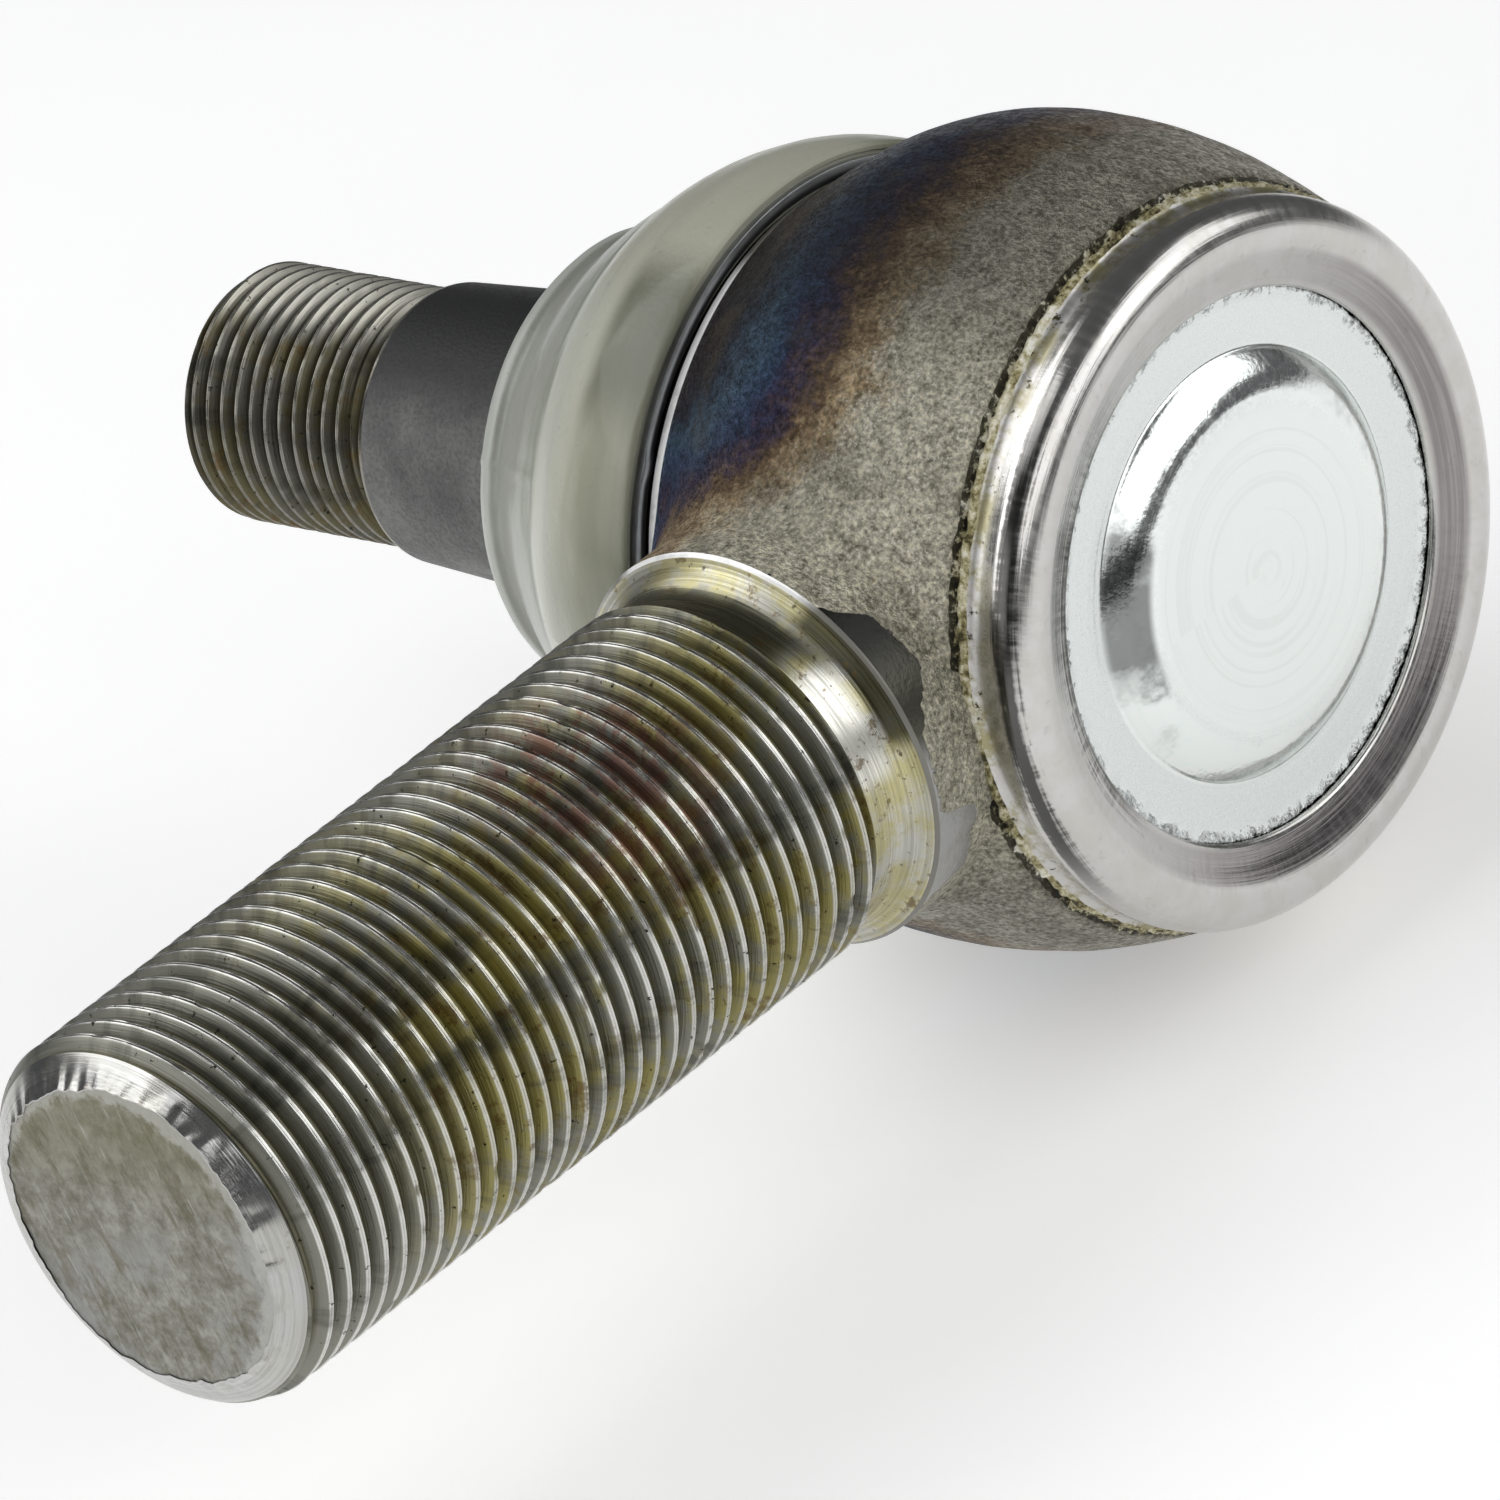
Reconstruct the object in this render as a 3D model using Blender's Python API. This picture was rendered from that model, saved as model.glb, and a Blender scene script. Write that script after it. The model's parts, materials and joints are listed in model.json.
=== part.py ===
"""Ball joint rod end: forged housing with a threaded stem, ball stud, seats, cover and dust boot.

Frame: +X is the stud axis, out of the cover; -Y is the stem axis, out of its end face; +Z is up.
The origin is the centre of the cover's flat pad. Everything is in metres.
"""

import math

import bmesh
import bpy
from mathutils import Vector

MM = 0.001

# Distances along the stud axis are measured from the ball centre, + towards the cover.
COVER_PAD_X = 21.5 * MM
BALL_CENTRE = Vector((-COVER_PAD_X, 0.0, 0.0))
GAP = 0.3 * MM

# Head of the forging, turned about the stud axis.
HEAD_RADIUS = 30.9 * MM
MOUTH_X = -16.8 * MM
MOUTH_EDGE_RADIUS = 24.4 * MM
MOUTH_BORE_RADIUS = 21.2 * MM
SPIGOT_X = -18.9 * MM
SPIGOT_RADIUS = 23.2 * MM
RETAINING_LIP_X = -9.5 * MM
RETAINING_LIP_RADIUS = 17.3 * MM
SEAT_SHOULDER_X = -8.9 * MM
SEAT_BORE_RADIUS = 21.6 * MM
COVER_SHOULDER_X = 15.4 * MM
COVER_BORE_RADIUS = 24.5 * MM
SEAM_X = 15.7 * MM
SEAM_RADIUS = 27.9 * MM
LIP_INNER_RADIUS = 20.5 * MM
LIP_CREST_X = 21.2 * MM
LIP_CREST_RADIUS = 24.8 * MM
COVER_RIM_X = 19.2 * MM

# Stem of the forging, turned about its own axis; distances run from the ball centre towards -Y.
STEM_START = 24.65 * MM
STEM_COLLAR_END = 33.2 * MM
STEM_COLLAR_RADIUS = 16.3 * MM
STEM_UNDERCUT_RADIUS = 13.7 * MM
STEM_THREAD_START = 36.2 * MM
STEM_THREAD_END = 100.0 * MM
STEM_END = 102.8 * MM
STEM_END_RADIUS = 12.8 * MM
STEM_THREAD_RADIUS = 15.0 * MM
STEM_PITCH = 2.0 * MM

# Ball stud; distances run from the ball centre towards the stud's end.
BALL_RADIUS = 18.0 * MM
STUD_NECK_RADIUS = 10.2 * MM
STUD_NECK_END = 26.0 * MM
STUD_TAPER_START = 33.0 * MM
STUD_TAPER_RADIUS = 12.4 * MM
STUD_TAPER_END = 59.2 * MM
STUD_TAPER_RATIO = 8.0
STUD_THREAD_START = 60.4 * MM
STUD_THREAD_END = 78.6 * MM
STUD_END = 79.5 * MM
STUD_END_RADIUS = 8.5 * MM
STUD_THREAD_RADIUS = 10.0 * MM
STUD_PITCH = 1.5 * MM

# Ball seats, disc spring, cover and its sealing ring.
SEAT_SPHERE_RADIUS = BALL_RADIUS + GAP
SEAT_RADIUS = SEAT_BORE_RADIUS - GAP
SEAT_SPLIT = 0.25 * MM
MOUTH_SEAT_X = SEAT_SHOULDER_X + GAP
COVER_SEAT_X = 12.1 * MM
COVER_BACK_X = COVER_SHOULDER_X + GAP
COVER_RADIUS = COVER_BORE_RADIUS - GAP
COVER_REBATE_RADIUS = 22.6 * MM
COVER_REBATE_X = 17.8 * MM
BOSS_BASE_RADIUS = 16.1 * MM
BOSS_PAD_RADIUS = 13.2 * MM
BOSS_HOLLOW_RADIUS = 13.6 * MM
BOSS_HOLLOW_X = 18.4 * MM
SEAL_RING_RADIUS = 23.55 * MM
SEAL_WIRE_RADIUS = 0.6 * MM
SPRING_INNER_RADIUS = 15.0 * MM
SPRING_OUTER_RADIUS = 21.0 * MM
SPRING_THICKNESS = 1.3 * MM
SPRING_RISE = 1.7 * MM

# Dust boot and its rings.
BOOT_RIM_X = -17.7 * MM
BOOT_RIM_RADIUS = 26.6 * MM
BOOT_WALL = 1.7 * MM
BOOT_SPLIT_X = -31.5 * MM
BOOT_SPLIT_RADIUS = 22.2 * MM
BOOT_NECK_END_X = -40.8 * MM
BOOT_NECK_RADIUS = 17.4 * MM
CLAMP_X = -17.2 * MM
CLAMP_WIDTH = 1.8 * MM
CLAMP_INNER_RADIUS = 24.6 * MM
CLAMP_OUTER_RADIUS = 25.7 * MM
NECK_RING_X = -38.2 * MM
NECK_RING_RADIUS = 14.6 * MM
NECK_WIRE_RADIUS = 0.7 * MM

HEAD_SEGMENTS = 48
ROUND_SEGMENTS = 36
THREAD_SEGMENTS = 24


def clear_scene():
    for obj in list(bpy.data.objects):
        bpy.data.objects.remove(obj, do_unlink=True)


def principled(name, colour, roughness, metallic):
    material = bpy.data.materials.new(name)
    material.use_nodes = True
    shader = material.node_tree.nodes["Principled BSDF"]
    shader.inputs["Base Color"].default_value = (*colour, 1.0)
    shader.inputs["Roughness"].default_value = roughness
    shader.inputs["Metallic"].default_value = metallic
    return material


def finish_mesh(mesh_data, name, material):
    """Turns a finished bmesh into a smooth-shaded object with one material."""
    bmesh.ops.remove_doubles(mesh_data, verts=mesh_data.verts, dist=1e-7)
    bmesh.ops.recalc_face_normals(mesh_data, faces=mesh_data.faces)
    mesh = bpy.data.meshes.new(name)
    mesh_data.to_mesh(mesh)
    mesh_data.free()
    mesh.shade_smooth()
    mesh.set_sharp_from_angle(angle=math.radians(35))
    mesh.materials.append(material)
    obj = bpy.data.objects.new(name, mesh)
    bpy.context.scene.collection.objects.link(obj)
    return obj


def spun(outline, segments, closed):
    """A bmesh turned about its X axis from (along, radius) points.

    A closed outline makes a ring; an open one starts and ends on the axis.
    """
    mesh_data = bmesh.new()
    verts = [mesh_data.verts.new((along, 0.0, radius)) for along, radius in outline]
    edges = [mesh_data.edges.new(pair) for pair in zip(verts, verts[1:])]
    if closed:
        edges.append(mesh_data.edges.new((verts[-1], verts[0])))
    bmesh.ops.spin(
        mesh_data,
        geom=verts + edges,
        cent=(0.0, 0.0, 0.0),
        axis=(1.0, 0.0, 0.0),
        angle=2 * math.pi,
        steps=segments,
        use_merge=True,
    )
    return mesh_data


def arc(centre, radius, start, end, steps):
    """Points on an arc in the (along, radius) plane, angles in degrees from the +along axis."""
    points = []
    for step in range(steps + 1):
        angle = math.radians(start + (end - start) * step / steps)
        points.append(
            (centre[0] + radius * math.cos(angle), centre[1] + radius * math.sin(angle))
        )
    return points


def helix_rows(start, end, pitch, crest, root, segments):
    """Rows of points that follow a right-hand helix, alternately on the root and on the crest."""
    turns = int((end - start) / pitch) - 1
    rows = []
    for row in range(2 * turns + 1):
        on_crest = row % 2 == 1
        ramp = min(row, 2 * turns - row) / 2.0
        height = root + (crest - root) * min(1.0, ramp) if on_crest else root
        ring = []
        for segment in range(segments):
            share = segment / segments
            angle = 2 * math.pi * share
            along = start + pitch * (row / 2.0 + share)
            ring.append(Vector((along, height * math.cos(angle), height * math.sin(angle))))
        rows.append(ring)
    return rows


def threaded_bar(before, after, start, end, pitch, crest, root, segments):
    """A closed bar about its X axis with a helical thread between start and end.

    before and after are the (along, radius) points of the plain lengths at its two ends,
    both of which start or stop on the axis.
    """
    mesh_data = bmesh.new()
    rows = [
        [mesh_data.verts.new(point) for point in ring]
        for ring in helix_rows(start, end, pitch, crest, root, segments)
    ]
    last = segments - 1
    for low, high in zip(rows, rows[1:]):
        for i in range(last):
            mesh_data.faces.new((low[i], low[i + 1], high[i + 1], high[i]))
    for row in range(len(rows) - 3):
        corner = (rows[row][last], rows[row + 2][0], rows[row + 3][0], rows[row + 1][last])
        mesh_data.faces.new(corner)

    def ring_of(along, radius):
        angles = [2 * math.pi * i / segments for i in range(segments)]
        return [
            mesh_data.verts.new((along, radius * math.cos(a), radius * math.sin(a)))
            for a in angles
        ]

    def plain_length(points):
        """Rings for points given from the thread outwards, closed by a cap on the axis."""
        rings = [ring_of(along, radius) for along, radius in points[:-1]]
        for one, two in zip(rings, rings[1:]):
            for i in range(segments):
                j = (i + 1) % segments
                mesh_data.faces.new((one[i], one[j], two[j], two[i]))
        mesh_data.faces.new(rings[-1])
        return rings[0]

    low_ring = plain_length(before[::-1])
    first = rows[0]
    for i in range(last):
        mesh_data.faces.new((low_ring[i], low_ring[i + 1], first[i + 1], first[i]))
    seam = [low_ring[last], low_ring[0], rows[0][0], rows[1][0], rows[2][0]]
    for one, two in zip(seam, seam[1:]):
        mesh_data.faces.new((first[last], one, two))

    high_ring = plain_length(after)
    top = rows[-1]
    for i in range(last):
        mesh_data.faces.new((top[i], top[i + 1], high_ring[i + 1], high_ring[i]))
    seam = [rows[-3][last], rows[-2][last], rows[-1][last], high_ring[last], high_ring[0]]
    for one, two in zip(seam, seam[1:]):
        mesh_data.faces.new((one, two, top[0]))
    return mesh_data


def place(obj, direction):
    """Turns an object that was made along +X to the given direction, at the ball centre."""
    turn = Vector((1.0, 0.0, 0.0)).rotation_difference(Vector(direction))
    obj.rotation_mode = "QUATERNION"
    obj.rotation_quaternion = turn
    obj.location = BALL_CENTRE
    return obj


def turned(name, outline, material, segments=ROUND_SEGMENTS, closed=True):
    """A named piece turned about the stud axis."""
    return place(finish_mesh(spun(outline, segments, closed), name, material), (1, 0, 0))


def make_head(material):
    """The eye of the forging: bulged outside, bored for the seats, with its lip rolled in."""
    outside = [
        (SPIGOT_X, SPIGOT_RADIUS),
        (MOUTH_X, SPIGOT_RADIUS),
        (MOUTH_X, MOUTH_EDGE_RADIUS),
        (-12.0 * MM, 27.6 * MM),
        (-7.0 * MM, 30.0 * MM),
        (-2.0 * MM, HEAD_RADIUS),
        (3.0 * MM, HEAD_RADIUS),
        (8.0 * MM, 30.2 * MM),
        (12.0 * MM, 29.2 * MM),
        (SEAM_X, SEAM_RADIUS),
    ]
    lip = [
        (SEAM_X + 0.3 * MM, 27.2 * MM),
        (18.4 * MM, 27.3 * MM),
        (20.4 * MM, 26.5 * MM),
        (LIP_CREST_X, LIP_CREST_RADIUS),
        (20.9 * MM, 22.8 * MM),
        (COVER_RIM_X + 3 * GAP, LIP_INNER_RADIUS),
        (COVER_RIM_X + GAP, LIP_INNER_RADIUS),
    ]
    inside = [
        (COVER_RIM_X + GAP, COVER_BORE_RADIUS),
        (COVER_SHOULDER_X, COVER_BORE_RADIUS),
        (COVER_SHOULDER_X, SEAT_BORE_RADIUS),
        (SEAT_SHOULDER_X, SEAT_BORE_RADIUS),
        (SEAT_SHOULDER_X, RETAINING_LIP_RADIUS),
        (RETAINING_LIP_X, RETAINING_LIP_RADIUS),
        (SPIGOT_X, MOUTH_BORE_RADIUS),
    ]
    return turned("housing", outside + lip + inside, material, HEAD_SEGMENTS)


def make_stem(material):
    """The threaded stem with the collar and fillet at its root, from inside the head's wall."""
    root = STEM_THREAD_RADIUS - 0.6 * STEM_PITCH
    before = [
        (STEM_START, 0.0),
        (STEM_START, STEM_COLLAR_RADIUS),
        (STEM_COLLAR_END, STEM_COLLAR_RADIUS),
        (STEM_COLLAR_END + 0.5 * MM, 15.4 * MM),
        (STEM_COLLAR_END + 1.4 * MM, 14.2 * MM),
        (STEM_COLLAR_END + 2.6 * MM, STEM_UNDERCUT_RADIUS),
    ]
    after = [
        (STEM_THREAD_END + 0.4 * MM, root),
        (STEM_END, STEM_END_RADIUS),
        (STEM_END, 0.0),
    ]
    bar = threaded_bar(
        before,
        after,
        STEM_THREAD_START,
        STEM_THREAD_END,
        STEM_PITCH,
        STEM_THREAD_RADIUS,
        root,
        THREAD_SEGMENTS,
    )
    return place(finish_mesh(bar, "stem_shape", material), (0, -1, 0))


def make_housing(material):
    """One forging: the head and the stem are joined into a single body."""
    head = make_head(material)
    stem = make_stem(material)
    stem.hide_render = True
    stem.display_type = "WIRE"
    union = head.modifiers.new("stem", "BOOLEAN")
    union.operation = "UNION"
    union.solver = "EXACT"
    union.object = stem
    return head


def make_ball_stud(material):
    """Ball, neck, tapered shank and threaded end in one piece; its origin is the ball centre."""
    neck_leaves_ball = math.degrees(math.asin(STUD_NECK_RADIUS / BALL_RADIUS))
    taper_drop = (STUD_TAPER_END - STUD_TAPER_START) / (2 * STUD_TAPER_RATIO)
    root = STUD_THREAD_RADIUS - 0.6 * STUD_PITCH
    ball = arc((0.0, 0.0), BALL_RADIUS, 180.0, neck_leaves_ball, 14)
    ball[0] = (-BALL_RADIUS, 0.0)
    before = ball + [
        (STUD_NECK_END, STUD_NECK_RADIUS),
        (STUD_NECK_END + 4.0 * MM, STUD_TAPER_RADIUS - 0.6 * MM),
        (STUD_TAPER_START, STUD_TAPER_RADIUS),
        (STUD_TAPER_END, STUD_TAPER_RADIUS - taper_drop),
        (STUD_THREAD_START - 0.6 * MM, root),
    ]
    after = [
        (STUD_THREAD_END + 0.3 * MM, root),
        (STUD_END, STUD_END_RADIUS),
        (STUD_END, 0.0),
    ]
    bar = threaded_bar(
        before,
        after,
        STUD_THREAD_START,
        STUD_THREAD_END,
        STUD_PITCH,
        STUD_THREAD_RADIUS,
        root,
        THREAD_SEGMENTS,
    )
    return place(finish_mesh(bar, "ball_stud", material), (-1, 0, 0))


def make_seat(name, split, end, material):
    """A shell round one half of the ball, from the split plane to its end face."""
    split_angle = math.degrees(math.acos(split / SEAT_SPHERE_RADIUS))
    end_angle = math.degrees(math.acos(end / SEAT_SPHERE_RADIUS))
    sphere = arc((0.0, 0.0), SEAT_SPHERE_RADIUS, end_angle, split_angle, 7)
    return turned(name, sphere + [(split, SEAT_RADIUS), (end, SEAT_RADIUS)], material)


def make_disc_spring(material):
    """A coned disc that presses the cover-side seat onto the ball."""
    inner_x = COVER_SEAT_X + GAP
    outer_x = inner_x + SPRING_RISE
    outline = [
        (inner_x, SPRING_INNER_RADIUS),
        (outer_x, SPRING_OUTER_RADIUS),
        (outer_x + SPRING_THICKNESS, SPRING_OUTER_RADIUS),
        (inner_x + SPRING_THICKNESS, SPRING_INNER_RADIUS),
    ]
    return turned("disc_spring", outline, material)


def make_cover(material):
    """The pressed cover: a flat rim under the lip and a raised round boss."""
    front = [
        (COVER_RIM_X, COVER_RADIUS),
        (COVER_RIM_X, BOSS_BASE_RADIUS),
        (COVER_RIM_X + 0.5 * MM, BOSS_BASE_RADIUS - 0.5 * MM),
        (COVER_PAD_X - 0.5 * MM, BOSS_PAD_RADIUS + 0.9 * MM),
        (COVER_PAD_X, BOSS_PAD_RADIUS),
        (COVER_PAD_X, 0.0),
    ]
    back = [
        (BOSS_HOLLOW_X, 0.0),
        (BOSS_HOLLOW_X, BOSS_HOLLOW_RADIUS - 2.0 * MM),
        (COVER_BACK_X, BOSS_HOLLOW_RADIUS),
        (COVER_BACK_X, COVER_REBATE_RADIUS),
        (COVER_REBATE_X, COVER_REBATE_RADIUS),
        (COVER_REBATE_X, COVER_RADIUS),
        (COVER_RIM_X, COVER_RADIUS),
    ]
    return turned("cover_plate", back + front[1:], material, HEAD_SEGMENTS, closed=False)


def make_ring(name, along, radius, wire, material):
    """A round-wire ring."""
    outline = arc((along, radius), wire, 0.0, 315.0, 7)
    return turned(name, outline, material)


def make_boot_bellows(material):
    """The large half of the moulded boot, with the channel that its clamp ring sits in."""
    bulge = [
        (BOOT_RIM_X, BOOT_RIM_RADIUS),
        (-21.0 * MM, BOOT_RIM_RADIUS + 0.1 * MM),
        (-24.5 * MM, 25.9 * MM),
        (-28.0 * MM, 24.5 * MM),
        (BOOT_SPLIT_X + GAP / 2, BOOT_SPLIT_RADIUS),
    ]
    hollow = [
        (BOOT_SPLIT_X + GAP / 2, BOOT_SPLIT_RADIUS - BOOT_WALL),
        (-27.3 * MM, 22.7 * MM),
        (-23.6 * MM, 23.6 * MM),
        (-21.2 * MM, SPIGOT_RADIUS + GAP),
    ]
    channel_floor = CLAMP_X - CLAMP_WIDTH - GAP
    channel = [
        (MOUTH_X - GAP, SPIGOT_RADIUS + GAP),
        (MOUTH_X - GAP, CLAMP_INNER_RADIUS - GAP),
        (channel_floor, CLAMP_INNER_RADIUS - GAP),
        (channel_floor, CLAMP_OUTER_RADIUS + GAP),
        (BOOT_RIM_X, CLAMP_OUTER_RADIUS + GAP),
    ]
    return turned("boot_bellows", bulge + hollow + channel, material)


def make_boot_neck(material):
    """The small half of the moulded boot, which seals on the stud's shank."""
    shank = STUD_TAPER_RADIUS + GAP
    outside = [
        (BOOT_SPLIT_X - GAP / 2, BOOT_SPLIT_RADIUS - 0.2 * MM),
        (-34.5 * MM, 19.9 * MM),
        (-37.2 * MM, 18.0 * MM),
        (-39.0 * MM, BOOT_NECK_RADIUS),
        (BOOT_NECK_END_X, BOOT_NECK_RADIUS),
    ]
    lip = [
        (BOOT_NECK_END_X, shank),
        (-38.9 * MM, shank),
    ]
    groove_depth = NECK_RING_RADIUS + NECK_WIRE_RADIUS + GAP
    groove_half = NECK_WIRE_RADIUS + GAP
    groove = [
        (NECK_RING_X - groove_half, shank + 1.0 * MM),
        (NECK_RING_X - groove_half, groove_depth),
        (NECK_RING_X + groove_half, groove_depth),
        (NECK_RING_X + groove_half, shank + 1.0 * MM),
        (-36.6 * MM, shank + 0.2 * MM),
        (-35.2 * MM, shank + 0.9 * MM),
        (-33.6 * MM, 18.2 * MM),
        (BOOT_SPLIT_X - GAP / 2, BOOT_SPLIT_RADIUS - 0.2 * MM - BOOT_WALL),
    ]
    return turned("boot_neck", outside + lip + groove, material)


def make_clamp_ring(material):
    """The flat ring that holds the boot's rim on the housing."""
    outline = [
        (CLAMP_X, CLAMP_INNER_RADIUS),
        (CLAMP_X - CLAMP_WIDTH, CLAMP_INNER_RADIUS),
        (CLAMP_X - CLAMP_WIDTH, CLAMP_OUTER_RADIUS),
        (CLAMP_X, CLAMP_OUTER_RADIUS),
    ]
    return turned("boot_clamp_ring", outline, material, HEAD_SEGMENTS)


def main():
    clear_scene()
    forged_steel = principled("forged_steel", (0.32, 0.30, 0.27), 0.45, 1.0)
    phosphated_steel = principled("phosphated_steel", (0.10, 0.10, 0.10), 0.55, 0.8)
    zinc_plate = principled("zinc_plate", (0.72, 0.76, 0.78), 0.28, 1.0)
    spring_steel = principled("spring_steel", (0.14, 0.14, 0.15), 0.40, 1.0)
    seat_polymer = principled("seat_polymer", (0.85, 0.83, 0.76), 0.50, 0.0)
    boot_rubber = principled("boot_rubber", (0.55, 0.56, 0.46), 0.45, 0.0)
    seal_rubber = principled("seal_rubber", (0.03, 0.03, 0.03), 0.60, 0.0)

    make_housing(forged_steel)
    make_seat("mouth_seat", -SEAT_SPLIT, MOUTH_SEAT_X, seat_polymer)
    make_seat("cover_seat", SEAT_SPLIT, COVER_SEAT_X, seat_polymer)
    make_disc_spring(spring_steel)
    make_cover(zinc_plate)
    seal_x = COVER_SHOULDER_X + SEAL_WIRE_RADIUS + GAP
    make_ring("cover_seal_ring", seal_x, SEAL_RING_RADIUS, SEAL_WIRE_RADIUS, seal_rubber)
    make_ball_stud(phosphated_steel)
    make_boot_bellows(boot_rubber)
    make_boot_neck(boot_rubber)
    make_clamp_ring(spring_steel)
    make_ring("boot_neck_ring", NECK_RING_X, NECK_RING_RADIUS, NECK_WIRE_RADIUS, spring_steel)


main()
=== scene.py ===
"""Looks of the ball joint rod end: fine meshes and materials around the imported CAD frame.

Sizes are in millimetres and are measured from the ball's centre unless a name says otherwise.
Each turned piece is built along its own +X axis and then turned to its direction.
"""

import json
import math

import bpy
import numpy as np
from mathutils import Matrix, Vector, noise

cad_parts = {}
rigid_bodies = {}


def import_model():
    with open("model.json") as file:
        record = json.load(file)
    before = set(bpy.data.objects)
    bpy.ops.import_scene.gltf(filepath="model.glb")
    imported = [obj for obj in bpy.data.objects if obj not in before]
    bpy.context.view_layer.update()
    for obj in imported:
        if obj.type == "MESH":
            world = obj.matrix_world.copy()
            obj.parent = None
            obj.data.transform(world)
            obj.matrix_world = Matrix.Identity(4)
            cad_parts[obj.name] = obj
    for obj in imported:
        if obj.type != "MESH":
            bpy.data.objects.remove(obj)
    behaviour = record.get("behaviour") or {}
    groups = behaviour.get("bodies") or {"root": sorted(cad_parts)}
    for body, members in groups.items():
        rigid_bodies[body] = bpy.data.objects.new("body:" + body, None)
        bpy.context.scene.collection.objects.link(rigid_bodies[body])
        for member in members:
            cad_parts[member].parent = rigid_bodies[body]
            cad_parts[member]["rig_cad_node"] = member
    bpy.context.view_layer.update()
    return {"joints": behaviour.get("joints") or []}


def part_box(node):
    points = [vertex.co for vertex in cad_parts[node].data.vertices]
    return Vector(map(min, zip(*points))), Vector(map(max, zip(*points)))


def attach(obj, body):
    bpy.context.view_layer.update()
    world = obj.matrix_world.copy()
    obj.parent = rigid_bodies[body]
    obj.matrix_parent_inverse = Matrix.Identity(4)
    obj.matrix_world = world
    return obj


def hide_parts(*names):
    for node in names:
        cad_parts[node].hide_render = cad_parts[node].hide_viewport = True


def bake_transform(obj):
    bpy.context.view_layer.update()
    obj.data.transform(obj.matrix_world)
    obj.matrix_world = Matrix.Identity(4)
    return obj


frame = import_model()

MM = 0.001
BALL = Vector(frame["joints"][0]["pos_m"])
# The stage floor leaves room below the head for the stud's end at full tilt.
FLOOR_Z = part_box("housing")[0].z - 3.4 * MM
FLOOR_HALF = 2.0

# Camera: a long lens that looks at the ball's centre from this direction.
CAMERA_AZIMUTH = 47.369
CAMERA_ELEVATION = 27.010
CAMERA_ROLL = -15.326
CAMERA_DISTANCE = 1285.18
CAMERA_ASIDE = (21.685, 16.224)
CAMERA_LENS = 420.5

# Head of the forging: (along the stud axis, radius).
MOUTH_EDGE = [(-16.8, 24.70), (-16.72, 24.85), (-16.0, 25.02), (-15.85, 25.05)]
HEAD_OUTLINE = [
    (-15.8, 25.12), (-15.6, 25.4), (-14.3, 26.25), (-12.0, 27.6), (-9.5, 28.95), (-7.0, 29.95),
    (-4.5, 30.6), (-2.0, 30.85), (0.5, 30.88), (3.0, 30.8), (5.5, 30.5), (8.0, 30.1),
    (10.5, 29.5), (13.0, 28.75), (14.7, 28.2), (15.1, 27.95),
]
SEAM_X = 15.6
SEAM_OUTLINE = [(15.15, 27.85), (15.3, 27.5), (15.42, 27.2), (15.6, 27.4), (15.9, 27.6), (16.3, 27.45)]
LIP_OUTLINE = [
    (16.4, 27.3), (16.7, 27.05), (17.2, 26.92), (17.9, 27.0), (18.7, 27.1), (19.6, 26.95),
    (20.4, 26.4), (20.95, 25.6), (21.2, 24.7), (21.1, 23.8), (20.75, 22.8), (20.4, 21.9),
    (20.1, 21.0), (19.95, 20.6), (19.7, 20.45), (19.5, 20.5),
]
HEAD_INSIDE = [
    (19.5, 24.5), (15.4, 24.5), (15.4, 21.6), (-8.9, 21.6), (-8.9, 17.3), (-9.5, 17.3),
    (-18.9, 21.2), (-18.9, 23.2), (-16.8, 23.2),
]

# Stem: (distance from the ball's centre, radius).
STEM_NECK = [(24.65, 16.15), (27.0, 16.2), (30.0, 16.25), (32.9, 16.26)]
STEM_RIM = [(32.9, 16.26), (33.0, 16.2), (33.2, 15.98)]
STEM_FLARE = [
    (33.2, 15.98), (33.32, 15.7), (33.55, 15.3), (34.0, 14.7), (34.7, 14.2), (35.6, 13.95),
    (36.6, 13.85), (37.4, 13.8),
]
STEM_THREAD = (37.4, 101.0)
STEM_PITCH = 2.0
STEM_CREST = 15.0
STEM_ROOT = 13.85
STEM_CHAMFER = (99.9, 102.75)
STEM_END_RADIUS = 12.8
STEM_END = 102.8

# Ball stud: (distance from the ball's centre, radius).
BALL_RADIUS = 18.0
BALL_NECK_ANGLE = 0.603
STUD_BODY = [
    (22.0, 10.2), (26.0, 10.2), (30.0, 11.8), (33.0, 12.4), (40.0, 11.96), (50.0, 11.34),
    (58.9, 10.78), (59.25, 10.7), (59.45, 10.35), (59.7, 9.5), (60.2, 9.3), (60.6, 9.2),
]
STUD_THREAD = (60.6, 78.9)
STUD_PITCH = 1.5
STUD_CREST = 10.0
STUD_ROOT = 9.15
STUD_END = 79.5

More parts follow.
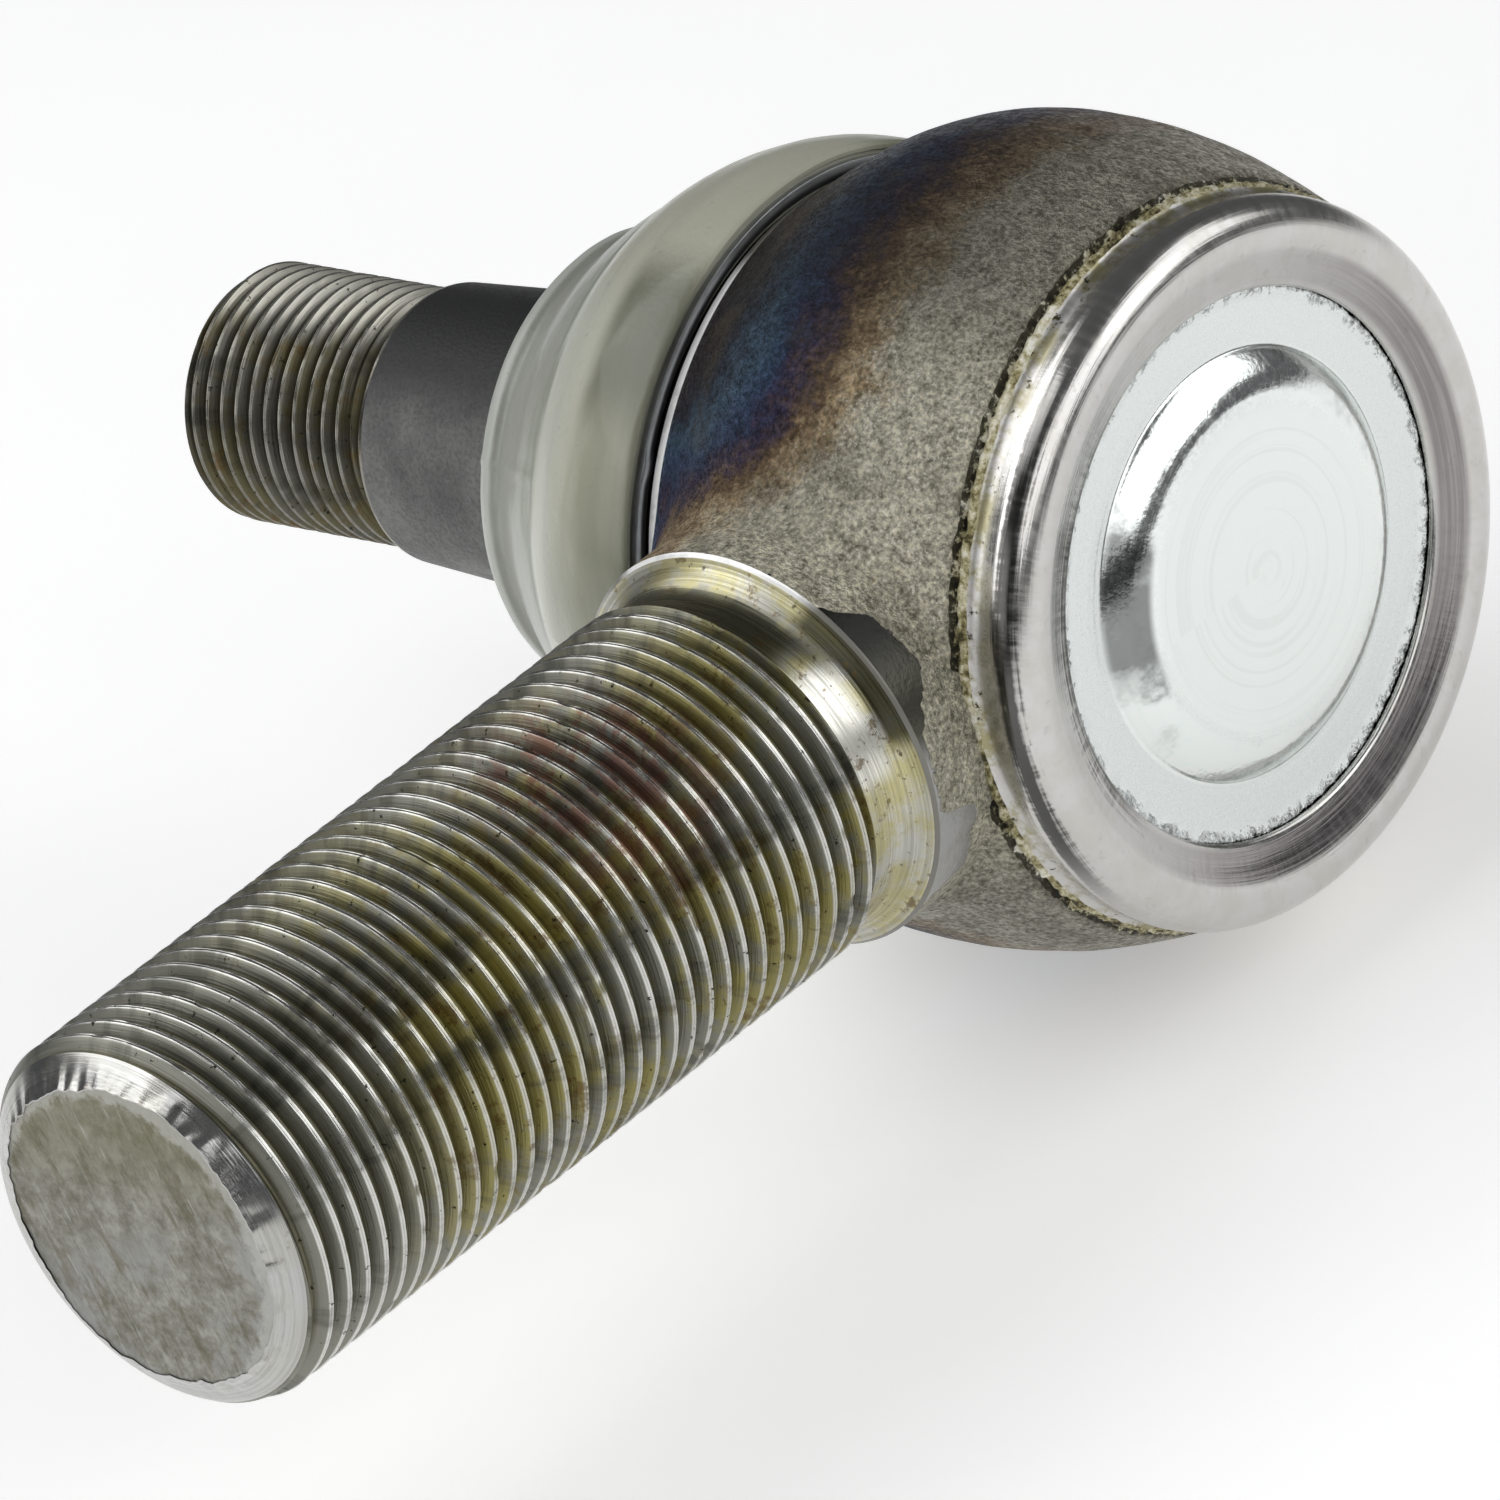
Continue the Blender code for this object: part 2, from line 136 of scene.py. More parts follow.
# Cover and boot: (along the stud axis, radius).
COVER_OUTLINE = [
    (15.7, 22.6), (17.8, 22.6), (17.8, 24.2), (19.2, 24.2), (19.2, 20.9), (19.42, 20.35),
    (19.3, 19.9), (19.22, 19.4), (19.2, 16.9), (19.18, 16.35), (19.22, 16.1), (19.45, 15.88),
    (19.95, 15.3), (20.4, 14.72), (20.8, 14.1), (21.12, 13.4), (21.35, 12.6), (21.47, 11.8),
    (21.5, 11.0), (21.5, 0.0),
]
BOOT_OUTLINE = [
    (-17.75, 25.95), (-17.5, 26.1), (-17.5, 26.4), (-17.8, 26.6), (-19.0, 26.68), (-21.0, 26.62),
    (-23.0, 26.3), (-25.0, 25.7), (-27.0, 24.95), (-29.0, 23.9), (-30.3, 22.95), (-30.85, 22.5),
    (-31.1, 22.42), (-31.5, 22.2), (-32.6, 21.6), (-34.0, 20.75), (-35.6, 19.6), (-37.0, 18.45),
    (-38.0, 17.75), (-38.6, 17.45), (-39.0, 17.4), (-39.4, 17.65), (-40.1, 17.6), (-40.6, 17.3),
    (-40.8, 16.7), (-40.7, 16.2), (-40.5, 15.9), (-40.45, 14.0), (-40.6, 12.1),
]
CLAMP_OUTLINE = [
    (-17.25, 24.7), (-17.2, 24.8), (-17.2, 25.6), (-17.25, 25.68), (-18.95, 25.7), (-19.0, 25.6),
    (-19.0, 24.7),
]
BOOT_WALL = 1.7
BOOT_BORE = 12.2
# The skin's two halves meet here, nearer the rim than the CAD nodes do.
BOOT_SPLIT = -27.0
# Round the boot, in degrees: the mould's two flash lines and the clamp ring's closed end.
FLASH_ANGLES = (152, -28)
TAB_ANGLE = 146

# Points round each piece, and where the points of one thread pitch lie along it.
HEAD_SEGMENTS = 540
STEM_SEGMENTS = 224
STUD_SEGMENTS = 200
COVER_SEGMENTS = 360
BOOT_SEGMENTS = 300
THREAD_PHASES = [0.0, 0.05, 0.1, 0.17, 0.24, 0.31, 0.355, 0.38, 0.395, 0.42, 0.445, 0.47, 0.5,
                 0.53, 0.555, 0.58, 0.605, 0.62, 0.645, 0.69, 0.76, 0.83, 0.9, 0.95]


def catmull_rom(points, spacing):
    """Evenly spaced (along, radius) points on a smooth curve through the given ones."""
    points = [np.array(p, float) for p in points]
    points = [2 * points[0] - points[1], *points, 2 * points[-1] - points[-2]]
    dense = []
    for a, b, c, d in zip(points, points[1:], points[2:], points[3:]):
        for t in np.linspace(0, 1, 24, endpoint=False):
            curve = 2 * b + (c - a) * t + (2 * a - 5 * b + 4 * c - d) * t**2
            dense.append(0.5 * (curve + (3 * b - a - 3 * c + d) * t**3))
    dense.append(points[-2])
    return resample(dense, spacing)


def resample(points, spacing):
    """Points at an even spacing on the straight lines between the given ones."""
    dense = np.array(points, float)
    travelled = np.concatenate([[0], np.cumsum(np.hypot(*np.diff(dense, axis=0).T))])
    count = max(2, int(round(travelled[-1] / spacing)) + 1)
    where = np.linspace(0, travelled[-1], count)
    return list(zip(np.interp(where, travelled, dense[:, 0]), np.interp(where, travelled, dense[:, 1])))


def angles(segments):
    """Even angles all the way round."""
    return np.arange(segments) * 2 * math.pi / segments


def turned_grid(outline, segments):
    """Arrays of along, radius and angle, with one row for each outline point."""
    outline = np.array(outline, float)
    along = np.repeat(outline[:, :1], segments, axis=1)
    radius = np.repeat(outline[:, 1:], segments, axis=1)
    angle = np.repeat(angles(segments)[None, :], len(outline), axis=0)
    return along, radius, angle


def to_points(along, radius, angle):
    """Points in millimetres from their place along, away from and round the X axis."""
    return np.stack([along, radius * np.cos(angle), radius * np.sin(angle)], axis=-1)


def noise_at(points, scale, seed=0.0):
    """Smooth noise, about -1 to 1, at points in millimetres; scale is features per millimetre."""
    flat = points.reshape(-1, 3) * scale + seed
    values = [noise.noise(Vector(p)) for p in flat]
    return np.array(values).reshape(points.shape[:-1])


def grid_faces(rows, segments, closed_loop):
    """Quads between neighbouring rows of a grid that runs all the way round."""
    pairs = rows if closed_loop else rows - 1
    row = np.repeat(np.arange(pairs), segments)
    column = np.tile(np.arange(segments), pairs)
    after = (column + 1) % segments
    below = (row + 1) % rows
    return np.stack(
        [row * segments + column, row * segments + after,
         below * segments + after, below * segments + column], axis=1)


def mesh_object(name, points, faces, materials, indices=None, direction=(1, 0, 0), sharp=32):
    """A smooth-shaded object at the ball's centre, turned from +X to the given direction.

    Each point also keeps its place at rest, in millimetres, for the materials to read.
    """
    mesh = bpy.data.meshes.new(name)
    flat = points.reshape(-1, 3)
    mesh.from_pydata(flat * MM, [], faces.tolist())
    rest = mesh.attributes.new("rest", "FLOAT_VECTOR", "POINT")
    rest.data.foreach_set("vector", flat.astype(np.float32).ravel())
    for material in materials:
        mesh.materials.append(material)
    if indices is not None:
        mesh.polygons.foreach_set("material_index", np.asarray(indices, np.int32))
    mesh.validate()
    mesh.shade_smooth()
    mesh.set_sharp_from_angle(angle=math.radians(sharp))
    obj = bpy.data.objects.new(name, mesh)
    bpy.context.scene.collection.objects.link(obj)
    turn = {(1, 0, 0): 0.0, (0, -1, 0): -90.0, (-1, 0, 0): 180.0}[direction]
    obj.matrix_world = Matrix.Translation(BALL) @ Matrix.Rotation(math.radians(turn), 4, "Z")
    return obj


class Graph:
    """Short forms for building one material's nodes.

    Materials read the place at rest, so lengths are in millimetres from the ball's centre, angles are in
    radians about the piece's own axis, and a noise's scale is in features per millimetre.
    """

    def __init__(self, name):
        self.material = bpy.data.materials.new(name)
        self.material.use_nodes = True
        self.tree = self.material.node_tree
        self.shader = self.tree.nodes["Principled BSDF"]

    def node(self, kind, inputs=(), **settings):
        made = self.tree.nodes.new(kind)
        for key, value in settings.items():
            setattr(made, key, value)
        for key, value in dict(inputs).items():
            self.feed(made.inputs[key], value)
        return made

    def feed(self, socket, value):
        if isinstance(value, bpy.types.NodeSocket):
            self.tree.links.new(value, socket)
        else:
            socket.default_value = value

    def set(self, **values):
        """Feeds the shader's sockets; an underscore in a name stands for a space."""
        for key, value in values.items():
            self.feed(self.shader.inputs[key.replace("_", " ")], value)
        return self.material

    def math(self, operation, a, b=0.0):
        made = self.node("ShaderNodeMath", operation=operation)
        self.feed(made.inputs[0], a)
        self.feed(made.inputs[1], b)
        return made.outputs[0]

    def plus(self, a, b):
        return self.math("ADD", a, b)

    def minus(self, a, b):
        return self.math("SUBTRACT", a, b)

    def times(self, a, b):
        return self.math("MULTIPLY", a, b)

    def rest(self):
        return self.node("ShaderNodeAttribute", attribute_name="rest").outputs["Vector"]

    def polar(self, vector):
        """Along, radius and angle of a point about the X axis."""
        x, y, z = self.split(vector)
        radius = self.math("SQRT", self.plus(self.times(y, y), self.times(z, z)))
        return x, radius, self.math("ARCTAN2", z, y)

    def split(self, vector):
        outputs = self.node("ShaderNodeSeparateXYZ", {"Vector": vector}).outputs
        return outputs[0], outputs[1], outputs[2]

    def join(self, x, y, z):
        return self.node("ShaderNodeCombineXYZ", {"X": x, "Y": y, "Z": z}).outputs[0]

    def circle(self, angle, scale):
        """Two coordinates on a circle of this radius, so that a pattern runs round without a seam."""
        return self.times(self.math("COSINE", angle), scale), self.times(self.math("SINE", angle), scale)

    def facing(self, angle, y, z):
        """How far the direction outwards at this angle points along (y, z)."""
        return self.plus(self.times(self.math("COSINE", angle), y), self.times(self.math("SINE", angle), z))

    def noise(self, vector, scale, detail=3.0, roughness=0.55):
        inputs = {"Vector": vector, "Scale": scale, "Detail": detail, "Roughness": roughness}
        return self.node("ShaderNodeTexNoise", inputs).outputs["Fac"]

    def span(self, value, low, high, to_low=0.0, to_high=1.0):
        """Runs smoothly from to_low to to_high as the value goes from low to high."""
        made = self.node(
            "ShaderNodeMapRange",
            {"Value": value, "From Min": low, "From Max": high, "To Min": to_low, "To Max": to_high},
            interpolation_type="SMOOTHSTEP",
        )
        return made.outputs[0]

    def span_linear(self, value, low, high):
        made = self.node("ShaderNodeMapRange", {"Value": value, "From Min": low, "From Max": high})
        return made.outputs[0]

    def band(self, value, low, high, soft):
        """1 between low and high, fading to 0 over soft outside them."""
        return self.times(self.span(value, low - soft, low), self.span(value, high + soft, high))

    def mix(self, factor, a, b, blend="MIX"):
        made = self.node("ShaderNodeMix", data_type="RGBA", blend_type=blend)
        self.feed(made.inputs["Factor"], factor)
        for socket, value in zip((made.inputs[6], made.inputs[7]), (a, b)):
            self.feed(socket, value if isinstance(value, bpy.types.NodeSocket) else (*value, 1.0))
        return made.outputs[2]

    def ramp(self, value, stops):
        made = self.node("ShaderNodeValToRGB", {"Fac": value})
        ramp = made.color_ramp
        while len(ramp.elements) < len(stops):
            ramp.elements.new(0.5)
        for element, (place, colour) in zip(ramp.elements, stops):
            element.position = place
            element.color = (*colour, 1.0)
        return made.outputs["Color"]

    def bump(self, height, distance):
        inputs = {"Height": height, "Distance": distance * MM, "Strength": 1.0}
        return self.node("ShaderNodeBump", inputs).outputs[0]


def forged_skin(g, place):
    """Colour, roughness and height of forged skin at a place in the head's own frame.

    It is a speckled grey-brown grain, with the heat tint that runs in from the mouth, painted glints, and
    painted shade over the top and underneath.
    """
    x, y, z = g.split(place)
    coarse = g.noise(place, 0.80, 5.0, 0.62)
    grain = g.noise(place, 2.5, 4.0, 0.66)
    fine = g.noise(place, 3.2, 3.0, 0.7)
    blotch = g.noise(place, 0.13, 4.0, 0.6)

    height = g.math("ABSOLUTE", z)
    near_stem = g.times(g.span(height, 23.0, 12.0, 0.0, 13.0), g.span(y, -14.0, -20.0))
    wander = g.span(g.noise(place, 0.3, 3.0, 0.6), 0.25, 0.75, -1.6, 1.6)
    spread = g.span(g.noise(place, 1.3, 4.0, 0.7), 0.25, 0.75, -1.1, 1.1)
    heat = g.plus(g.plus(x, near_stem), g.plus(wander, spread))
    tint = g.ramp(
        g.span_linear(heat, -17.0, 9.0),
        [
            (0.00, (0.032, 0.026, 0.026)),
            (0.20, (0.042, 0.037, 0.046)),
            (0.31, (0.036, 0.043, 0.068)),
            (0.42, (0.068, 0.120, 0.190)),
            (0.54, (0.048, 0.078, 0.160)),
            (0.62, (0.048, 0.042, 0.092)),
            (0.67, (0.100, 0.074, 0.095)),
            (0.73, (0.190, 0.128, 0.078)),
            (0.83, (0.450, 0.350, 0.225)),
            (0.95, (0.570, 0.550, 0.470)),
        ],
    )
    mottle = g.plus(g.times(coarse, 0.35), g.times(grain, 0.65))
    shade = g.ramp(
        mottle, [(0.37, (0.32, 0.305, 0.26)), (0.50, (0.90, 0.885, 0.835)), (0.62, (1.68, 1.65, 1.56))])
    colour = g.mix(1.0, tint, shade, "MULTIPLY")
    # Painted glints: small pale flecks in the colour where the heat tint has faded.
    glints = g.times(g.span(fine, 0.58, 0.66), g.span(heat, 1.0, 8.0))
    colour = g.mix(g.times(glints, 0.75), colour, (0.97, 0.95, 0.88))
    # Painted shade: the top and back of the head are darkened towards black.
    side = g.math("ARCTAN2", z, y)
    painted_top_shade = g.times(g.band(side, 0.2, 1.90, 0.40), g.span(x, 14.0, 4.0, 0.44, 0.66))
    colour = g.mix(painted_top_shade, colour, (0.024, 0.021, 0.019))
    # Painted shade under the head, on the stem's side.
    below = g.times(g.span(z, -4.0, -16.0), g.span(y, 8.0, -6.0, 0.0, 0.55))
    colour = g.mix(below, colour, (0.05, 0.048, 0.04))
    colour = g.mix(g.span(blotch, 0.50, 0.68, 0.0, 0.5), colour, (0.11, 0.09, 0.06))
    rust = g.times(g.span(g.noise(place, 0.5, 6.0, 0.72), 0.64, 0.70), g.span(x, 2.0, 9.0))
    colour = g.mix(g.times(rust, 0.65), colour, (0.16, 0.10, 0.025))
    relief = g.plus(g.times(coarse, 1.3), g.plus(grain, g.times(fine, 0.3)))
    return colour, g.span(mottle, 0.38, 0.62, 0.55, 0.28), relief


def forged_material():
    """Forged skin of the head."""
    g = Graph("forged_skin")
    colour, roughness, relief = forged_skin(g, g.rest())
    return g.set(Base_Color=colour, Metallic=0.82, Roughness=roughness, Normal=g.bump(relief, 0.75))


def lathe_marks(g, rest, pitch_scale):
    """Fine circular tool marks about the piece's own axis."""
    x, radius, angle = g.polar(rest)
    where = g.join(g.times(x, pitch_scale), g.times(radius, pitch_scale), g.times(angle, 0.7))
    return g.noise(where, 1.0, 3.0, 0.6)


def machined_material(name, colour, roughness, oil, dirt):
    """Turned steel with tool marks, a yellow oil film, brown spots and black specks."""
    g = Graph(name)
    rest = g.rest()
    marks = lathe_marks(g, rest, 5.0)
    film = g.span(g.noise(rest, 0.22, 4.0, 0.6), 0.38, 0.62)
    base = g.mix(g.times(film, oil), colour, tuple(c * k for c, k in zip(colour, (0.86, 0.80, 0.42))))
    spots = g.span(g.noise(rest, 0.5, 5.0, 0.65), 0.60, 0.70)
    base = g.mix(g.times(spots, dirt * 0.7), base, (0.15, 0.085, 0.035))
    specks = g.span(g.noise(rest, 1.3, 4.0, 0.7), 0.66, 0.71)
    base = g.mix(g.times(specks, dirt), base, (0.045, 0.042, 0.02))
    base = g.mix(g.span(marks, 0.35, 0.65, 0.0, 0.25), base, (0.12, 0.12, 0.11))
    rough = g.plus(g.span(marks, 0.3, 0.7, roughness * 0.8, roughness * 1.3), g.times(film, 0.06))
    return g.set(Base_Color=base, Metallic=1.0, Roughness=rough, Normal=g.bump(marks, 0.03))


def flare_material():
    """Turned flare beside the neck: oily and yellow, with painted shade in its groove and on one side of its
    rim, and a painted highlight in the groove beside it.
    """
    g = Graph("machined_flare")
    rest = g.rest()
    radius, angle = g.polar(rest)[1:]
    marks = lathe_marks(g, rest, 5.0)
    film = g.span(g.noise(rest, 0.25, 6.0, 0.68), 0.36, 0.58)
    base = g.mix(film, (0.56, 0.555, 0.51), (0.50, 0.46, 0.25))
    groove = g.span(g.plus(radius, g.span(film, 0.0, 1.0, -0.1, 0.1)), 14.75, 13.95)
    # Painted shade in the groove on one side.
    base = g.mix(g.times(g.times(groove, g.span(angle, 0.78, 1.02)), 0.88), base, (0.08, 0.076, 0.04))
    # Painted highlight in the groove over the neighbouring angles.
    base = g.mix(g.times(groove, g.band(angle, 0.15, 0.72, 0.12)), base, (0.80, 0.79, 0.72))
    # Painted shade on the outer part beside the rim, on one side.
    shaded = g.times(g.band(angle, 0.28, 0.95, 0.12), g.span(radius, 14.45, 14.85))
    base = g.mix(g.times(shaded, 0.93), base, (0.045, 0.042, 0.02))
    spots = g.span(g.noise(rest, 0.55, 7.0, 0.75), 0.57, 0.63)
    base = g.mix(g.times(spots, 0.75), base, (0.16, 0.10, 0.03))
    specks = g.span(g.noise(rest, 1.4, 4.0, 0.7), 0.63, 0.68)
    base = g.mix(g.times(specks, 0.8), base, (0.045, 0.04, 0.02))
    base = g.mix(g.span(marks, 0.35, 0.65, 0.0, 0.35), base, (0.12, 0.12, 0.10))
    rough = g.span(marks, 0.3, 0.7, 0.24, 0.40)
    return g.set(Base_Color=base, Metallic=1.0, Roughness=rough, Normal=g.bump(marks, 0.04))


def neck_material():
    """The stem's neck: the head's forged skin, with two patches that the turning tool reached: one pale, one
    painted near-black as shade.
    """
    g = Graph("stem_neck")
    rest = g.rest()
    along, y, z = g.split(rest)
    angle = g.math("ARCTAN2", z, y)
    skin, skin_roughness, relief = forged_skin(g, g.join(y, g.times(along, -1.0), z))
    dark_reach = g.times(g.band(angle, 0.50, 0.70, 0.34), 3.2)
    sliver = g.times(g.band(angle, -0.05, 0.50, 0.15), 0.6)
    pale_reach = g.times(g.band(angle, -0.62, -0.28, 0.14), 4.2)
    reach = g.plus(g.plus(dark_reach, sliver), pale_reach)
    ragged = g.span(g.noise(rest, 0.5, 4.0, 0.55), 0.25, 0.75, -0.45, 0.45)
    edge = g.plus(g.minus(STEM_RIM[-1][0] - 0.1, reach), ragged)
    cut = g.span(g.minus(along, edge), -0.08, 0.08)
    pale = g.mix(g.span(g.noise(rest, 0.5, 4.0), 0.5, 0.7, 0.0, 0.5), (0.34, 0.34, 0.33), (0.25, 0.24, 0.20))
    # Painted shade: on this side the tool-cut patch darkens towards black.
    shaded = g.mix(g.span(angle, 0.30, 0.72), (0.085, 0.082, 0.065), (0.018, 0.018, 0.016))
    machined = g.mix(g.span(angle, 0.02, 0.24), pale, shaded)
    base = g.mix(cut, skin, machined)
    rough = g.plus(g.times(skin_roughness, g.minus(1.0, cut)), g.times(cut, 0.27))
    height = g.times(relief, g.minus(1.0, g.times(cut, 0.97)))
    return g.set(Base_Color=base, Metallic=0.82, Roughness=rough, Normal=g.bump(height, 0.75))


def thread_material(name, crest_colour, flank_colour, oil_colour, crest, root, bare_from, bare_to,
                    rust=None, wear_and_painted_highlight=0.0):
    """Cut thread: bright crests, flanks and roots darkened by oil and painted shade, painted dark
    reflections along the bar, and stains.

    The oil thins out between bare_from and bare_to along the bar. rust is a stain's centre and radius. The
    last argument sets how strongly a pale painted highlight is laid along the top.
    """
    g = Graph(name)
    rest = g.rest()
    x, radius, angle = g.polar(rest)
    depth = g.span_linear(radius, root, crest)
    painted_dark_streak = g.noise(g.join(g.times(x, 0.07), *g.circle(angle, 4.0)), 0.9, 5.0, 0.62)
    film = g.span(g.noise(rest, 0.11, 7.0, 0.70), 0.42, 0.58)
    wet = g.times(g.times(film, g.span(x, bare_to, bare_from)), g.span(angle, 1.75, 1.0, 0.3, 1.0))
    # Flanks darker than the crests: partly oil, partly painted shade.
    base = g.mix(g.span(depth, 0.99, 0.88), crest_colour, flank_colour)
    base = g.mix(g.times(wet, g.span(depth, 1.0, 0.85, 0.25, 0.90)), base, oil_colour)
    # Roots darker still: oil, with painted shade in the hollow.
    base = g.mix(g.span(depth, 0.42, 0.08, 0.0, 0.62), base, tuple(0.28 * c for c in oil_colour))
    # Painted dark reflections that run along the bar.
    base = g.mix(g.span(painted_dark_streak, 0.50, 0.66, 0.0, 0.60), base, (0.06, 0.06, 0.05))
    brown = g.span(g.noise(rest, 0.34, 8.0, 0.76), 0.54, 0.60)
    base = g.mix(g.times(g.times(brown, wet), 0.70), base, (0.12, 0.075, 0.03))
    if rust is not None:
        centre, size = rust
        away = g.node("ShaderNodeVectorMath", {0: rest, 1: centre}, operation="DISTANCE").outputs["Value"]
        rusty = g.span(g.noise(rest, 0.4, 8.0, 0.76), 0.46, 0.56)
        patch = g.times(g.span(away, size, size * 0.35), rusty)
        base = g.mix(g.times(patch, 0.75), base, (0.17, 0.085, 0.065))
    # Painted highlight: a pale band along the top, scaled by the last argument.
    painted_top_highlight = g.times(g.band(angle, 1.35, 2.3, 0.35), g.span(depth, 0.05, 0.7))
    base = g.mix(g.times(painted_top_highlight, wear_and_painted_highlight), base, (0.62, 0.61, 0.54))
    specks = g.span(g.noise(rest, 1.2, 5.0, 0.75), 0.625, 0.66)
    base = g.mix(specks, base, (0.030, 0.028, 0.016))
    marks = g.noise(g.join(g.times(x, 7.0), g.times(radius, 7.0), angle), 1.0, 2.0)
    rough = g.plus(g.span(depth, 0.85, 1.0, 0.40, 0.20), g.times(specks, 0.25))
    return g.set(Base_Color=base, Metallic=0.97, Roughness=rough, Normal=g.bump(marks, 0.03))


def lip_material():
    """The rolled lip: burnished steel, oily by the seam, with a painted dark reflection in a band on one
    side and a purple inner slope.
    """
    g = Graph("burnished_lip")
    rest = g.rest()
    x, radius, angle = g.polar(rest)
    across = g.noise(g.join(*g.circle(angle, 50.0), g.times(radius, 0.4)), 1.0, 3.0, 0.6)
    around = g.noise(g.join(g.times(x, 4.0), g.times(radius, 4.0), g.times(angle, 2.0)), 1.0, 3.0, 0.6)
    film = g.span(g.noise(rest, 0.28, 7.0, 0.72), 0.42, 0.58)
    outer = g.span(x, 18.4, 16.8)
    base = g.mix(g.times(film, g.plus(g.times(outer, 0.80), 0.12)), (0.60, 0.59, 0.575), (0.34, 0.31, 0.17))
    broken = g.span(g.plus(around, g.times(across, 0.6)), 0.55, 0.95, -0.25, 0.25)
    # Painted dark reflection: a near-black band on the side facing this way.
    facing = g.facing(angle, -0.98, 0.20)
    black = g.times(g.band(g.plus(x, broken), 19.25, 19.95, 0.6), g.span(facing, 0.62, 0.88, 0.08, 0.88))
    base = g.mix(black, base, (0.035, 0.035, 0.033))
    inward = g.facing(angle, 0.75, -0.66)
    slope = g.times(g.band(radius, 21.2, 23.0, 0.7), g.span(inward, -0.5, 0.6, 0.15, 0.72))
    base = g.mix(g.times(slope, g.span(around, 0.25, 0.6, 0.7, 1.0)), base, (0.125, 0.105, 0.115))
    spots = g.span(g.noise(rest, 0.8, 7.0, 0.76), 0.585, 0.64)
    base = g.mix(g.times(spots, g.plus(outer, 0.12)), base, (0.06, 0.05, 0.02))
    rough = g.plus(g.span(across, 0.35, 0.7, 0.17, 0.25), g.times(outer, 0.22))
    height = g.plus(g.times(across, 0.35), g.times(around, 0.7))
    return g.set(Base_Color=base, Metallic=1.0, Roughness=rough, Normal=g.bump(height, 0.03))


def seam_material():
    """The joint where the lip was rolled: a dark crack beside a ragged ridge of yellow scale."""
    g = Graph("rolled_seam")
    rest = g.rest()
    x = g.split(rest)[0]
    grain = g.noise(rest, 1.2, 6.0, 0.74)
    large = g.noise(rest, 0.22, 3.0, 0.6)
    scale = g.ramp(
        g.plus(grain, g.span(large, 0.35, 0.65, -0.08, 0.08)),
        [
            (0.36, (0.05, 0.042, 0.016)),
            (0.46, (0.34, 0.30, 0.14)),
            (0.56, (0.70, 0.66, 0.47)),
            (0.66, (0.90, 0.88, 0.78)),
        ],
    )
    crack = g.span(g.plus(x, g.span(grain, 0.3, 0.7, -0.35, 0.35)), 15.30, 15.52, 0.90, 0.0)
    base = g.mix(crack, scale, (0.012, 0.011, 0.008))
    return g.set(Base_Color=base, Metallic=0.55, Roughness=0.42, Normal=g.bump(grain, 0.4))


def edge_material(name, bright_from, bright_to):
    """Machined land painted near-white as a highlight between the angles given in radians, and duller
    outside them.
    """
    g = Graph(name)
    rest = g.rest()
    x, radius, angle = g.polar(rest)
    marks = g.noise(g.join(g.times(x, 6.0), radius, angle), 1.0, 3.0)
    wear_and_painted_highlight = g.times(g.span(g.noise(rest, 0.4, 4.0), 0.52, 0.66), 0.3)
    # Painted highlight: near-white only between the given angles.
    painted_highlight_band = g.band(angle, bright_from, bright_to, 0.15)
    base = g.mix(wear_and_painted_highlight, (0.97, 0.97, 0.96), (0.30, 0.30, 0.29))
    base = g.mix(painted_highlight_band, (0.20, 0.195, 0.17), base)
    return g.set(Base_Color=base, Metallic=0.15, Roughness=0.22, Normal=g.bump(marks, 0.01))


def bore_material():
    """Machined inside of the head."""
    g = Graph("machined_bore")
    marks = lathe_marks(g, g.rest(), 4.0)
    base = g.mix(g.span(marks, 0.35, 0.65), (0.16, 0.16, 0.155), (0.08, 0.08, 0.08))
    return g.set(Base_Color=base, Metallic=0.9, Roughness=0.4, Normal=g.bump(marks, 0.03))


def sheared_material():
    """Cut end face: dull steel, olive towards one side, with slanting scratches and a pale scuffed rim."""
    g = Graph("sheared_end")
    rest = g.rest()
    y, z = g.split(rest)[1:]
    radius = g.polar(rest)[1]
    slant = math.radians(105)
    along = g.plus(g.times(y, math.cos(slant)), g.times(z, math.sin(slant)))
    across = g.minus(g.times(z, math.cos(slant)), g.times(y, math.sin(slant)))
    scratch = g.noise(g.join(g.times(along, 0.16), g.times(across, 2.6), 0.0), 1.0, 6.0, 0.72)
    torn = g.noise(rest, 0.55, 7.0, 0.72)
    blotch = g.noise(rest, 0.13, 6.0, 0.66)
    base = g.ramp(
        torn, [(0.36, (0.17, 0.165, 0.125)), (0.50, (0.255, 0.25, 0.21)), (0.62, (0.36, 0.355, 0.315))])
    smooth = g.times(g.span(blotch, 0.44, 0.54), g.span(g.plus(z, g.times(y, -0.3)), 3.0, -3.0))
    base = g.mix(g.times(smooth, 0.9), base, (0.33, 0.33, 0.315))
    olive = g.span(g.plus(z, g.times(torn, 8.0)), 6.0, 13.0)
    base = g.mix(g.times(olive, 0.55), base, (0.20, 0.19, 0.105))
    base = g.mix(g.span(scratch, 0.57, 0.66, 0.0, 0.60), base, (0.50, 0.50, 0.47))
    base = g.mix(g.span(scratch, 0.42, 0.34, 0.0, 0.60), base, (0.12, 0.115, 0.07))
    smear = g.noise(g.join(g.times(along, 0.14), g.times(across, 0.5), 3.0), 1.0, 7.0, 0.7)
    stain = g.span(smear, 0.53, 0.62)
    base = g.mix(g.times(stain, 0.50), base, (0.13, 0.11, 0.06))
    rim = g.times(g.span(g.plus(radius, g.times(torn, 3.0)), 12.7, 13.4), 0.6)
    base = g.mix(rim, base, (0.52, 0.52, 0.49))
    height = g.plus(g.times(scratch, 0.7), g.times(torn, 1.4))
    rough = g.span(torn, 0.3, 0.7, 0.52, 0.34)
    return g.set(Base_Color=base, Metallic=0.75, Roughness=rough, Normal=g.bump(height, 0.26))


